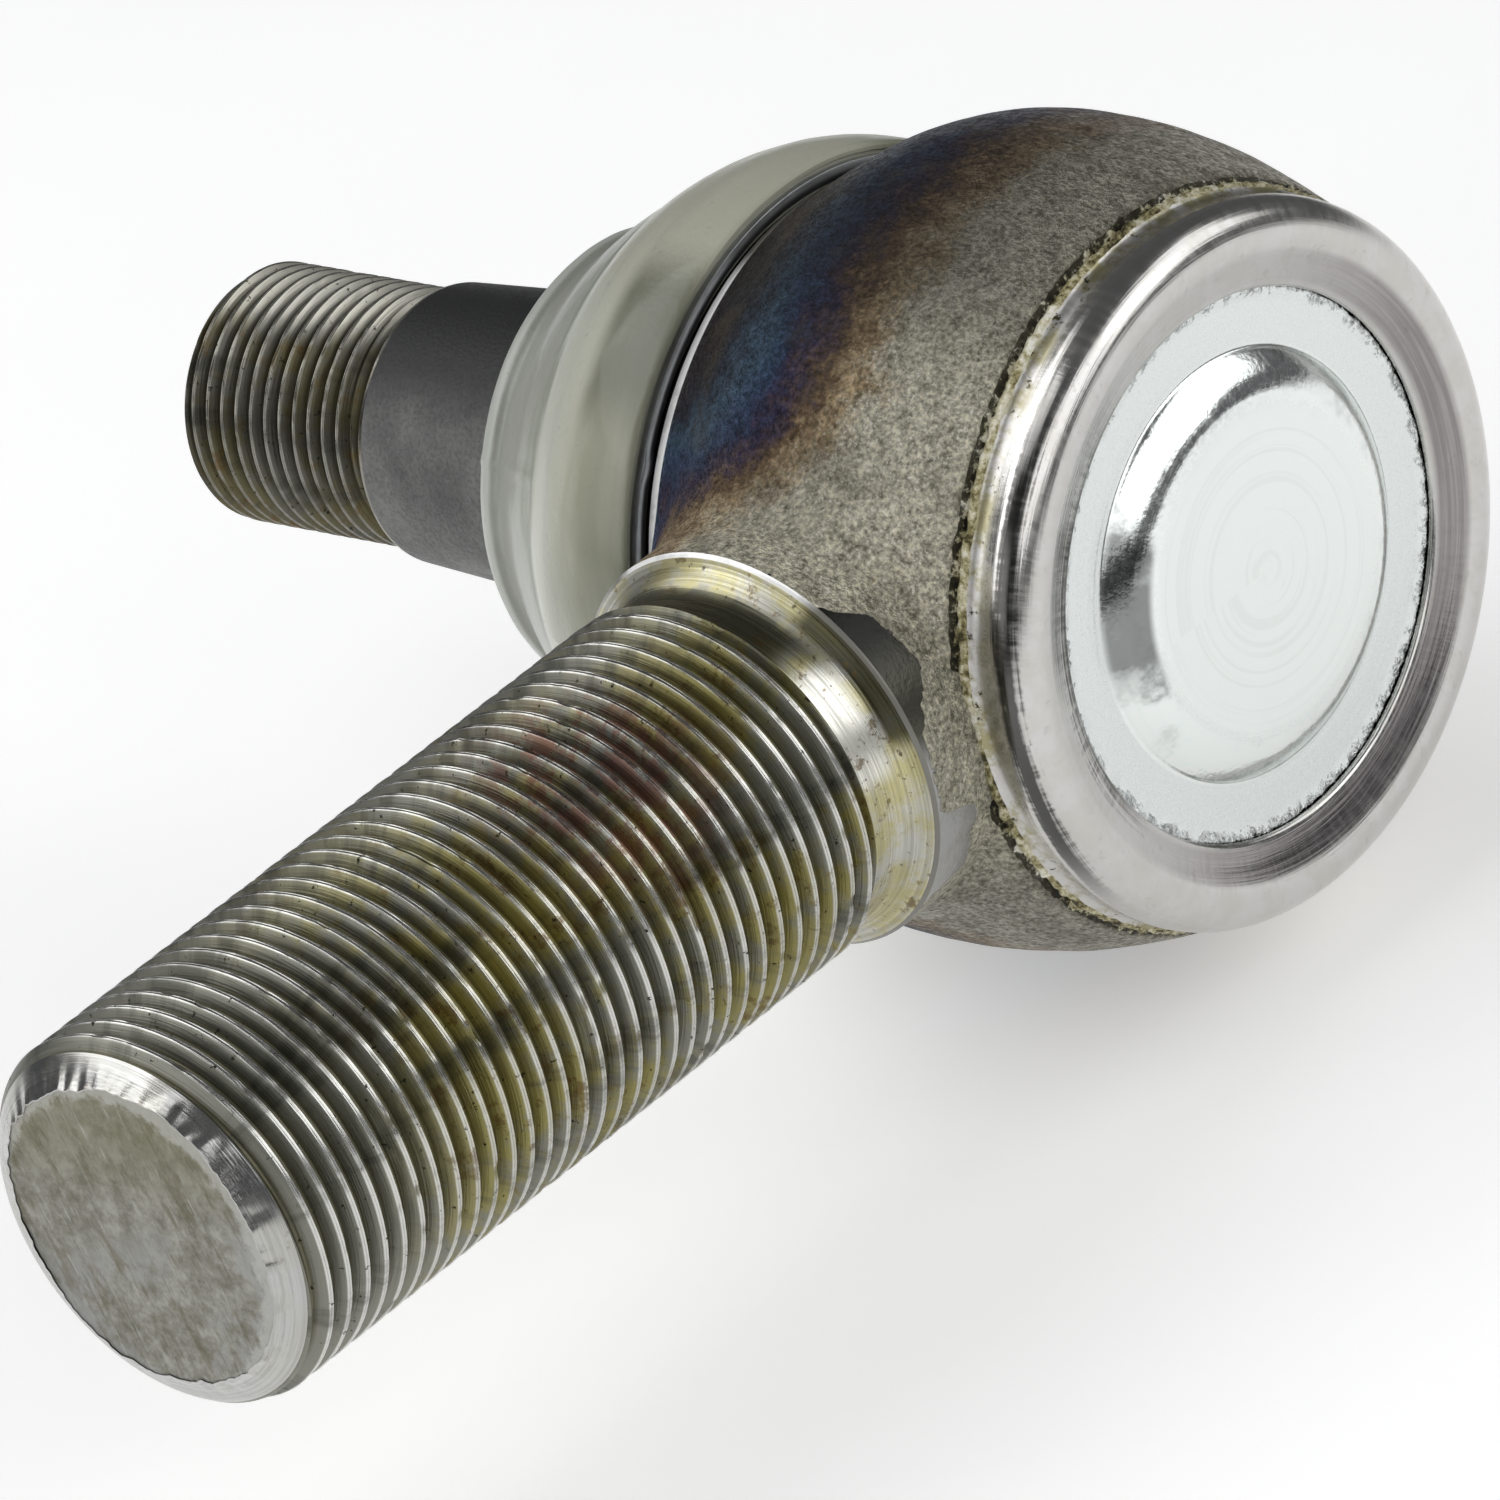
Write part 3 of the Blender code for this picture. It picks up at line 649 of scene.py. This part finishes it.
def zinc_material():
    """Pale zinc plate on the cover: faint turned rings on the pad, a crumpled outer edge and a painted dark
    reflection on one side of the boss wall.
    """
    g = Graph("zinc_plate_cover")
    rest = g.rest()
    radius, angle = g.polar(rest)[1:]
    fine = g.noise(rest, 2.4, 3.0, 0.6)
    rings = g.noise(g.join(g.times(radius, 1.3), 0.0, g.times(angle, 0.15)), 1.0, 4.0, 0.6)
    streaks = g.noise(g.join(*g.circle(angle, 5.0), g.times(radius, 0.35)), 1.0, 4.0, 0.62)
    on_pad = g.span(radius, 12.6, 11.8)
    base = g.mix(g.span(rings, 0.52, 0.62, 0.0, 0.14), (0.85, 0.89, 0.87), (0.58, 0.61, 0.59))
    edge = g.span(g.plus(radius, g.span(g.noise(rest, 0.9, 4.0, 0.7), 0.3, 0.7, -0.55, 0.55)), 19.85, 20.5)
    mottled = g.ramp(
        fine, [(0.38, (0.20, 0.21, 0.21)), (0.50, (0.46, 0.48, 0.475)), (0.64, (0.80, 0.83, 0.82))])
    base = g.mix(g.band(radius, 16.4, 21.0, 0.3), base, (0.74, 0.775, 0.765))
    base = g.mix(edge, base, mottled)
    wall = g.band(radius, 13.2, 15.7, 0.8)
    base = g.mix(g.times(wall, g.span(streaks, 0.50, 0.70, 0.0, 0.35)), base, (0.35, 0.37, 0.36))
    # Painted dark reflection on the side of the boss wall that faces this way.
    facing = g.plus(g.facing(angle, -0.97, 0.24), g.span(streaks, 0.3, 0.7, -0.05, 0.05))
    base = g.mix(g.times(wall, g.span(facing, 0.84, 0.97, 0.0, 0.80)), base, (0.10, 0.107, 0.105))
    rough = g.plus(g.times(on_pad, 0.10), g.span(fine, 0.3, 0.7, 0.20, 0.30))
    rough = g.minus(rough, g.times(wall, 0.10))
    bumps = g.plus(g.times(rings, 0.5), g.times(fine, 0.35))
    bumps = g.plus(bumps, g.times(edge, g.times(g.noise(rest, 1.3, 3.0), 3.0)))
    bumps = g.plus(bumps, g.times(wall, g.times(streaks, 0.8)))
    return g.set(Base_Color=base, Metallic=1.0, Roughness=rough, Normal=g.bump(bumps, 0.045))


def boot_material():
    """Milky moulded rubber, darker where the steel behind it shows through, with painted light along its top
    and a painted highlight ring at its neck end.
    """
    g = Graph("milky_boot")
    rest = g.rest()
    x, y, z = g.split(rest)
    angle = g.math("ARCTAN2", z, y)
    mould = g.noise(rest, 0.10, 4.0, 0.5)
    cloud = g.noise(g.join(g.times(x, 0.45), *g.circle(angle, 2.0)), 0.9, 4.0, 0.55)
    depth = g.plus(x, g.span(cloud, 0.3, 0.7, -1.1, 1.1))
    base = g.ramp(
        g.span_linear(depth, -42.0, -17.0),
        [
            (0.00, (0.33, 0.345, 0.31)),
            (0.14, (0.27, 0.28, 0.245)),
            (0.40, (0.31, 0.32, 0.28)),
            (0.44, (0.24, 0.26, 0.21)),
            (0.50, (0.47, 0.48, 0.42)),
            (0.68, (0.46, 0.465, 0.385)),
            (0.82, (0.30, 0.305, 0.225)),
            (1.00, (0.20, 0.205, 0.145)),
        ],
    )
    # Painted light: the top of the bulge near the rim is lighter.
    top = g.band(angle, 1.3, 1.90, 0.25)
    base = g.mix(g.times(top, g.band(x, -27.0, -17.0, 4.0)), base, (0.43, 0.43, 0.35))
    smudge = g.times(g.band(angle, 2.06, 2.30, 0.22), g.band(x, -22.8, -18.5, 2.4))
    base = g.mix(g.times(smudge, g.span(mould, 0.30, 0.55, 0.45, 0.85)), base, (0.105, 0.11, 0.07))
    low = g.times(g.span(angle, 2.55, 3.0), g.span(x, -29.5, -26.0))
    base = g.mix(g.times(low, 0.45), base, (0.12, 0.13, 0.085))
    fine = g.noise(rest, 1.8, 3.0)
    base = g.mix(g.span(fine, 0.6, 0.75, 0.0, 0.10), base, (0.15, 0.15, 0.11))
    # Painted highlight: a pale ring at the neck end's bead.
    base = g.mix(g.times(g.band(x, -40.5, -39.6, 0.35), 0.7), base, (0.46, 0.475, 0.44))
    specks = g.span(g.noise(rest, 0.9, 5.0, 0.75), 0.655, 0.69)
    base = g.mix(g.times(specks, 0.5), base, (0.10, 0.10, 0.07))
    g.set(Subsurface_Weight=0.22, Subsurface_Radius=(1.2, 1.15, 0.9), Subsurface_Scale=MM * 1.4)
    g.set(Specular_IOR_Level=0.5, IOR=1.49, Coat_Weight=0.35, Coat_Roughness=0.14)
    height = g.plus(fine, g.times(cloud, 2.0))
    return g.set(Base_Color=base, Roughness=g.span(cloud, 0.3, 0.7, 0.34, 0.46), Normal=g.bump(height, 0.05))


def phosphate_material():
    """Dark phosphated shank with a soft grey bloom and painted shade along its top."""
    g = Graph("phosphate_shank")
    rest = g.rest()
    angle = g.polar(rest)[2]
    marks = lathe_marks(g, rest, 3.0)
    cloud = g.noise(rest, 0.14, 4.0, 0.6)
    fine = g.noise(rest, 3.0, 3.0, 0.65)
    base = g.ramp(
        cloud, [(0.30, (0.085, 0.088, 0.085)), (0.52, (0.15, 0.152, 0.148)), (0.72, (0.22, 0.22, 0.212))])
    base = g.mix(g.span(fine, 0.42, 0.66, 0.0, 0.35), base, (0.05, 0.05, 0.048))
    base = g.mix(g.span(g.noise(rest, 0.6, 5.0, 0.7), 0.62, 0.72, 0.0, 0.4), base, (0.30, 0.29, 0.27))
    # Painted shade: the top of the shank is darker.
    base = g.mix(g.band(angle, 1.0, 2.2, 0.7), base, (0.036, 0.037, 0.036))
    height = g.plus(g.times(fine, 1.2), g.times(marks, 0.4))
    rough = g.span(fine, 0.3, 0.7, 0.48, 0.6)
    return g.set(Base_Color=base, Metallic=0.6, Roughness=rough, Normal=g.bump(height, 0.06))


def dark_ring_material():
    """Blackened spring steel of the clamp ring."""
    g = Graph("blackened_ring")
    rest = g.rest()
    radius = g.polar(rest)[1]
    marks = lathe_marks(g, rest, 3.0)
    base = g.mix(g.span(radius, 24.9, 25.4), (0.10, 0.105, 0.11), (0.40, 0.41, 0.42))
    base = g.mix(g.span(g.noise(rest, 0.3, 3.0), 0.4, 0.7, 0.0, 0.5), base, (0.20, 0.205, 0.21))
    rough = g.span(marks, 0.3, 0.7, 0.28, 0.4)
    return g.set(Base_Color=base, Metallic=0.8, Roughness=rough, Normal=g.bump(marks, 0.02))


def hidden_material(name, colour, metallic, roughness):
    """Finish of a piece inside the joint: a mottled colour with a light grain."""
    g = Graph(name)
    place = g.node("ShaderNodeTexCoord").outputs["Object"]
    fine = g.noise(place, 1500.0, 3.0)
    base = g.mix(g.span(fine, 0.35, 0.65), colour, tuple(c * 0.75 for c in colour))
    return g.set(Base_Color=base, Metallic=metallic, Roughness=roughness, Normal=g.bump(fine, 0.03))


def smoothstep(value, low, high):
    """Runs smoothly from 0 to 1 as the value goes from low to high."""
    share = np.clip((value - low) / (high - low), 0, 1)
    return share * share * (3 - 2 * share)


def forged_relief(points, along):
    """Low dents and waves of the forging, in millimetres, fading out at the machined mouth."""
    waves = 0.10 * noise_at(points, 0.13) + 0.05 * noise_at(points, 0.45, 7.0)
    return waves * smoothstep(along, -15.9, -13.0)


def stem_root(points):
    """How far the forging rises towards the stem's neck: a fillet all round it."""
    reach = np.hypot(points[..., 0], points[..., 2])
    fillet = 3.6
    share = np.clip((16.2 + fillet - reach) / fillet, 0, 1)
    rise = fillet * (1 - np.sqrt(1 - share**2 * 0.96))
    towards = points[..., 1] < 0
    free = smoothstep(points[..., 0], 12.5, 7.0)
    return rise * towards * free


def make_eye(materials):
    """The head: mouth edge, forged barrel with its fillet to the stem, seam, rolled lip and bores."""
    sections = [
        (MOUTH_EDGE, 1),
        (catmull_rom(HEAD_OUTLINE, 0.36), 0),
        (catmull_rom(SEAM_OUTLINE, 0.12), 3),
        (catmull_rom(LIP_OUTLINE, 0.22), 2),
        (HEAD_INSIDE, 4),
    ]
    outline, kinds = [], []
    for points, kind in sections:
        for point in points:
            if not outline or math.dist(outline[-1], point) > 0.02:
                outline.append(point)
                kinds.append(kind)
    along, radius, angle = turned_grid(outline, HEAD_SEGMENTS)
    kinds = np.array(kinds)
    plain = to_points(along, radius, angle)
    barrel = (kinds == 0)[:, None]
    radius = radius + np.where(barrel, forged_relief(plain, along), 0)
    near_seam = np.exp(-(((along - SEAM_X) / 0.8) ** 2)) * (kinds != 4)[:, None]
    ring = to_points(np.zeros_like(angle), np.full_like(angle, 28.0), angle)
    ragged = 0.22 * noise_at(ring[:1], 0.35) + 0.16 * noise_at(ring[:1], 1.1, 3.0)
    depth = 0.22 * noise_at(ring[:1], 0.8, 11.0) + 0.24 * noise_at(ring[:1], 2.1, 5.0)
    along = along + near_seam * ragged
    radius = radius + near_seam * depth
    points = to_points(along, radius, angle)
    points[..., 1] -= np.where(barrel, stem_root(points), 0)
    faces = grid_faces(len(outline), HEAD_SEGMENTS, True)
    indices = np.repeat(kinds, HEAD_SEGMENTS)
    return mesh_object("housing_eye", points, faces, materials, indices, sharp=50)


def thread_profile(phase, crest, root):
    """Radius across one pitch of a rolled thread: 60-degree flanks and a crest with a faint groove."""
    away = np.abs(phase - 0.5)
    flank = np.clip((0.44 - away) / (0.44 - 0.085), 0, 1)
    soft = flank - 0.035 * np.sin(2 * np.pi * flank) * (flank < 1)
    groove = 0.06 * np.exp(-((away / 0.04) ** 2))
    return root + (crest - root) * soft - groove


def threaded_length(start, end, pitch, crest, root, segments, blank, nicks):
    """Points and faces of a right-hand thread cut on a blank whose radius is blank(along)."""
    per_turn = len(THREAD_PHASES)
    turns = int(math.ceil((end - start) / pitch)) + 2
    rows = turns * per_turn
    turn = np.repeat(np.arange(turns), per_turn)[:, None]
    phase = np.tile(THREAD_PHASES, turns)[:, None]
    share = (np.arange(segments) / segments)[None, :]
    along = start + pitch * (turn - 1.5 + phase + share)
    radius = np.repeat(thread_profile(phase, crest, root), segments, axis=1)
    angle = np.repeat(angles(segments)[None, :], rows, axis=0)
    along = np.clip(along, start, end)
    points = to_points(along, radius, angle)
    wear = nicks * np.clip(noise_at(points, 0.55, 2.0) - 0.35, 0, 1) + 0.02 * noise_at(points, 1.2, 9.0)
    radius = np.minimum(radius - wear * (radius > (crest + root) / 2), blank(along))
    points = to_points(along, radius, angle)
    row = np.repeat(np.arange(rows - 1), segments)
    column = np.tile(np.arange(segments), rows - 1)
    wraps = column == segments - 1
    after = (column + 1) % segments
    step = np.where(wraps, per_turn, 0)
    keep = row + step + 1 < rows
    faces = np.stack([row * segments + column, (row + step) * segments + after,
                      (row + step + 1) * segments + after, (row + 1) * segments + column], axis=1)[keep]
    flat = points.reshape(-1, 3)
    shut = np.ptp(flat[faces][..., 0], axis=1) < 1e-7
    return points, faces[~shut]


def join_grids(grids):
    """One point array, one face list and the material index of each face, from separate grids."""
    points, faces, indices, offset = [], [], [], 0
    for grid_points, quads, index in grids:
        flat = grid_points.reshape(-1, 3)
        points.append(flat)
        faces.append(quads + offset)
        indices.append(np.full(len(quads), index))
        offset += len(flat)
    return np.concatenate(points), np.concatenate(faces), np.concatenate(indices)


def plain_grid(outline, segments, relief=None):
    """Points and faces of a turned surface, whose places a relief function may change."""
    along, radius, angle = turned_grid(outline, segments)
    if relief is not None:
        along, radius = relief(along, radius, angle)
    return to_points(along, radius, angle), grid_faces(len(outline), segments, False)


def squared_end(along, radius, angle):
    """The sheared end is not quite round and its rim is bruised."""
    out = smoothstep(along, STEM_THREAD[1], STEM_END)
    square = 0.22 * np.cos(4 * (angle + 0.5)) + 0.75 * (np.cos(angle - 0.66) - 1)
    rim = to_points(along * 0.4, np.full_like(radius, 13.0), angle)
    bruise = 0.24 * noise_at(rim, 0.5, 4.0) + 0.22 * noise_at(rim, 1.5, 8.0)
    moved = radius * (1 + out * (square + bruise) / 13.0)
    return along, np.where(radius > 0.01, moved, radius)


def dished_end(along, radius, angle):
    """The cut end face inside the squared rim is slightly sunken and uneven."""
    along, radius = squared_end(along, radius, angle)
    points = to_points(along * 0, radius, angle)
    return along - 0.10 * (1 + noise_at(points, 0.18, 6.0)), radius


def make_stem(materials):
    """The stem: neck, machined flare and undercut, helical thread, chamfer and cut end."""
    start, end = STEM_THREAD
    chamfer_start, chamfer_end = STEM_CHAMFER

    def blank(along):
        slope = (STEM_CREST + 0.05 - STEM_END_RADIUS) / (chamfer_end - chamfer_start)
        chamfer = STEM_CREST + 0.05 - slope * (along - chamfer_start)
        run_in = STEM_ROOT - 0.05 + (along - start) * 1.25
        return np.minimum(np.minimum(chamfer, run_in), STEM_CREST + 0.01)

    thread = threaded_length(start, end, STEM_PITCH, STEM_CREST, STEM_ROOT, STEM_SEGMENTS, blank, 0.35)
    cone = [(a, float(blank(np.array(a)))) for a in np.linspace(end, chamfer_end, 12)]
    rim = [cone[-1], (STEM_END - 0.03, STEM_END_RADIUS - 0.1)]
    face = [(STEM_END - 0.03, r) for r in np.linspace(STEM_END_RADIUS - 0.1, 0.0, 24)]
    grids = [
        (*plain_grid(resample(STEM_NECK, 0.3), STEM_SEGMENTS), 0),
        (*plain_grid(resample(STEM_RIM, 0.1), STEM_SEGMENTS), 5),
        (*plain_grid(catmull_rom(STEM_FLARE, 0.12), STEM_SEGMENTS), 1),
        (*thread, 2),
        (*plain_grid(cone, STEM_SEGMENTS, squared_end), 3),
        (*plain_grid(rim, STEM_SEGMENTS, squared_end), 3),
        (*plain_grid(face, STEM_SEGMENTS, dished_end), 4),
    ]
    points, faces, indices = join_grids(grids)
    return mesh_object("housing_stem", points, faces, materials, indices, (0, -1, 0), sharp=60)


def make_stud(materials):
    """Neck, tapered shank and threaded end of the ball stud, with the ball inside the seats."""
    ball_angles = np.linspace(math.pi - 0.001, BALL_NECK_ANGLE, 40)
    ball = [(BALL_RADIUS * math.cos(a), BALL_RADIUS * math.sin(a)) for a in ball_angles]
    start, end = STUD_THREAD

    def blank(along):
        rounded = STUD_CREST - 1.6 * smoothstep(along, 77.9, 79.5)
        return np.minimum(rounded, STUD_ROOT + 0.05 + (along - start) * 1.1)

    thread = threaded_length(start, end, STUD_PITCH, STUD_CREST, STUD_ROOT, STUD_SEGMENTS, blank, 0.25)
    tip = [(a, float(blank(np.array(a)))) for a in np.linspace(end, STUD_END - 0.05, 6)]
    tip += [(STUD_END, 8.0), (STUD_END, 4.0), (STUD_END, 0.0)]
    grids = [
        (*plain_grid(ball + STUD_BODY[:2], STUD_SEGMENTS), 0),
        (*plain_grid(resample(STUD_BODY[1:7], 0.5), STUD_SEGMENTS), 1),
        (*plain_grid(catmull_rom(STUD_BODY[6:], 0.12), STUD_SEGMENTS), 2),
        (*thread, 2),
        (*plain_grid(tip, STUD_SEGMENTS), 2),
    ]
    points, faces, indices = join_grids(grids)
    return mesh_object("ball_stud_body", points, faces, materials, indices, (-1, 0, 0), sharp=60)


def make_cover(material):
    """The zinc cover: rim with a crumpled edge, rounded boss wall and a flat pad."""
    outline = COVER_OUTLINE[:4]
    outline += resample(COVER_OUTLINE[3:9], 0.22)[1:]
    outline += catmull_rom(COVER_OUTLINE[8:19], 0.15)[1:]
    outline += resample(COVER_OUTLINE[18:], 0.5)[1:]
    back = [(18.4, 0.0), (18.4, 11.6), (15.7, 13.6)]

    def crumple(along, radius, angle):
        points = to_points(along * 0, radius, angle)
        edge = smoothstep(radius, 18.9, 20.3) * smoothstep(along, 18.9, 19.1)
        dents = np.clip(noise_at(points, 0.9, 1.0) + 0.1, -0.2, 1) * 0.13
        return along - edge * dents, radius

    points, faces = plain_grid(back + outline, COVER_SEGMENTS, crumple)
    return mesh_object("cover_pressing", points, faces, [material], sharp=40)


def boot_halves():
    """The boot's outside in two stretches that meet at the split.

    Each has a ring close beside the split, which gives both the same shading there, so that the boot looks
    like one moulding.
    """
    outer = np.array(catmull_rom(BOOT_OUTLINE, 0.3))
    last = int(np.argmax(outer[:, 0] < BOOT_SPLIT))
    start, end = outer[last - 1], outer[last]
    share = (start[0] - BOOT_SPLIT) / (start[0] - end[0])
    meeting = start + (end - start) * share
    close = 0.02 * (end - start) / np.linalg.norm(end - start)
    bellows = [*outer[:last - 1], meeting - close, meeting]
    neck = [meeting, meeting + close, *outer[last + 1:]]
    return bellows, neck


def boot_part(name, outer, material):
    """Half of the boot: an outside and an inside one wall thickness in."""
    inner = [(a, max(r - BOOT_WALL, BOOT_BORE)) for a, r in outer][::-1]
    along, radius, angle = turned_grid([*map(tuple, outer), *inner], BOOT_SEGMENTS)
    along, radius = mould_marks(along, radius, angle)
    faces = grid_faces(len(along), BOOT_SEGMENTS, True)
    return mesh_object(name, to_points(along, radius, angle), faces, [material], sharp=45)


def arc_from(place, angle, radius):
    """Distance round the piece from a place given in degrees."""
    return np.angle(np.exp(1j * (angle - math.radians(place)))) * radius


def mould_marks(along, radius, angle):
    """A thin flash line along each side of the boot and slight unevenness."""
    points = to_points(along, radius, angle)
    flash = np.zeros_like(radius)
    for place in FLASH_ANGLES:
        away = arc_from(place, angle, radius)
        flash += 0.13 * np.exp(-((away / 0.35) ** 2))
    wobble = 0.10 * noise_at(points, 0.10, 3.0) + 0.025 * noise_at(points, 0.6, 8.0)
    return along, radius + (flash * smoothstep(along, -27.0, -33.0) + wobble) * (radius > 15)


def make_clamp(material):
    """The clamp ring, with the small turned-up end where it closes."""
    along, radius, angle = turned_grid(CLAMP_OUTLINE, BOOT_SEGMENTS)
    away = arc_from(TAB_ANGLE, angle, radius)
    tab = np.exp(-((away / 0.9) ** 4)) * (along > -18.0)
    points = to_points(along + 0.16 * tab, radius, angle)
    faces = grid_faces(len(CLAMP_OUTLINE), BOOT_SEGMENTS, True)
    return mesh_object("clamp_ring", points, faces, [material], sharp=40)


def build_pieces():
    """Makes every visible piece, attaches the rigid ones to the body each rides, and hides the CAD node each
    replaces.
    """
    forged, edge, lip = forged_material(), edge_material("mouth_edge", 1.95, 4.0), lip_material()
    seam, bore = seam_material(), bore_material()
    flare, neck, rim = flare_material(), neck_material(), edge_material("flare_rim", 1.08, 2.1)
    stem_thread = thread_material(
        "stem_thread", (0.62, 0.62, 0.59), (0.205, 0.205, 0.175), (0.27, 0.24, 0.085), STEM_CREST, STEM_ROOT,
        80.0, 94.0, ((56.0, 8.0, 12.5), 13.0))
    chamfer = machined_material("machined_chamfer", (0.46, 0.46, 0.455), 0.17, 0.15, 0.45)
    stud_thread = thread_material(
        "stud_thread", (0.25, 0.245, 0.22), (0.13, 0.127, 0.112), (0.13, 0.115, 0.06), STUD_CREST, STUD_ROOT,
        90.0, 100.0, wear_and_painted_highlight=0.6)
    boot = boot_material()

    eye = make_eye([forged, edge, lip, seam, bore])
    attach(eye, "housing_body")
    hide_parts("housing")
    stem = make_stem([neck, flare, stem_thread, chamfer, sheared_material(), rim])
    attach(stem, "housing_body")
    cover = make_cover(zinc_material())
    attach(cover, "housing_body")
    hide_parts("cover_plate")
    clamp = make_clamp(dark_ring_material())
    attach(clamp, "housing_body")
    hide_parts("boot_clamp_ring")
    stud = make_stud([bore, phosphate_material(), stud_thread])
    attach(stud, "stud")
    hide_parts("ball_stud")

    bellows_outer, neck_outer = boot_halves()
    bellows = boot_part("boot_bellows_skin", bellows_outer, boot)
    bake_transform(bellows)
    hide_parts("boot_bellows")
    neck_piece = boot_part("boot_neck_skin", neck_outer, boot)
    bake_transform(neck_piece)
    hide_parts("boot_neck")


def finish_hidden_nodes():
    """Materials for the CAD nodes that stay in view only inside the joint."""
    polymer = hidden_material("seat_polymer_grain", (0.80, 0.78, 0.70), 0.0, 0.5)
    spring = hidden_material("spring_steel_grain", (0.14, 0.14, 0.15), 1.0, 0.4)
    rubber = hidden_material("seal_rubber_grain", (0.03, 0.03, 0.03), 0.0, 0.6)
    finishes = {
        "mouth_seat": polymer, "cover_seat": polymer, "disc_spring": spring, "boot_neck_ring": spring,
        "cover_seal_ring": rubber,
    }
    for name, material in finishes.items():
        node = next(o for o in bpy.data.objects if o.name == name or o.get("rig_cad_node") == name)
        node.data.materials.clear()
        node.data.materials.append(material)


def soft_light(name, direction, distance, size, power):
    """A rectangular soft light that faces the object from the given direction, in millimetres."""
    light = bpy.data.lights.new(name, "AREA")
    light.shape = "RECTANGLE"
    light.size, light.size_y = size[0] * MM, size[1] * MM
    light.energy = power
    obj = bpy.data.objects.new(name, light)
    bpy.context.scene.collection.objects.link(obj)
    back = Vector(direction).normalized()
    obj.location = BALL + back * distance * MM
    obj.rotation_mode = "QUATERNION"
    obj.rotation_quaternion = (-back).to_track_quat("-Z", "Y")
    return obj


def make_stage():
    """White floor, five soft lights and a dim sky."""
    g = Graph("pale_floor")
    place = g.node("ShaderNodeTexCoord").outputs["Object"]
    base = g.mix(g.noise(place, 20.0, 2.0), (0.93, 0.93, 0.93), (0.90, 0.90, 0.90))
    away = g.node("ShaderNodeVectorMath", {0: place}, operation="LENGTH").outputs["Value"]
    g.set(Emission_Color=base, Emission_Strength=g.span(away, 0.55, 0.30, 0.0, 0.36))
    material = g.set(Base_Color=base, Roughness=0.9, Specular_IOR_Level=0.1)
    mesh = bpy.data.meshes.new("floor")
    corners = [(x * FLOOR_HALF, y * FLOOR_HALF, 0) for x, y in ((-1, -1), (1, -1), (1, 1), (-1, 1))]
    mesh.from_pydata(corners, [], [(0, 1, 2, 3)])
    mesh.materials.append(material)
    floor = bpy.data.objects.new("floor", mesh)
    floor.location = (0, 0, FLOOR_Z)
    bpy.context.scene.collection.objects.link(floor)

    lights = [
        soft_light("left", (-0.60, -0.36, 0.68), 700, (700, 460), 2.1),
        soft_light("side", (0.89, -0.06, 0.50), 760, (1200, 400), 2.25),
        soft_light("back_side", (0.60, 0.60, 0.56), 760, (620, 440), 1.25),
        soft_light("low_left", (-0.30, -0.90, 0.31), 640, (700, 300), 0.98),
        soft_light("overhead", (-0.05, -0.42, 0.90), 740, (420, 340), 0.70),
    ]
    world = bpy.data.worlds.new("studio")
    world.use_nodes = True
    background = world.node_tree.nodes["Background"]
    background.inputs["Color"].default_value = (0.96, 0.98, 1.0, 1.0)
    background.inputs["Strength"].default_value = 0.11
    bpy.context.scene.world = world


def make_camera():
    """The camera, as fitted to the photograph."""
    azimuth, elevation, roll = (math.radians(v) for v in (CAMERA_AZIMUTH, CAMERA_ELEVATION, CAMERA_ROLL))
    back = Vector((
        math.sin(azimuth) * math.cos(elevation),
        -math.cos(azimuth) * math.cos(elevation),
        math.sin(elevation),
    ))
    level_right = Vector((math.cos(azimuth), math.sin(azimuth), 0))
    level_up = back.cross(level_right)
    right = math.cos(roll) * level_right + math.sin(roll) * level_up
    up = -math.sin(roll) * level_right + math.cos(roll) * level_up
    data = bpy.data.cameras.new("camera")
    data.lens = CAMERA_LENS
    data.sensor_width = 36.0
    data.clip_start, data.clip_end = 0.05, 20.0
    camera = bpy.data.objects.new("camera", data)
    bpy.context.scene.collection.objects.link(camera)
    place = BALL + (back * CAMERA_DISTANCE - right * CAMERA_ASIDE[0] - up * CAMERA_ASIDE[1]) * MM
    turn = Matrix((right, up, back)).transposed().to_4x4()
    camera.matrix_world = Matrix.Translation(place) @ turn
    bpy.context.scene.camera = camera


build_pieces()
finish_hidden_nodes()
make_stage()
make_camera()
bpy.context.scene.view_settings.view_transform = "Standard"
bpy.context.view_layer.update()
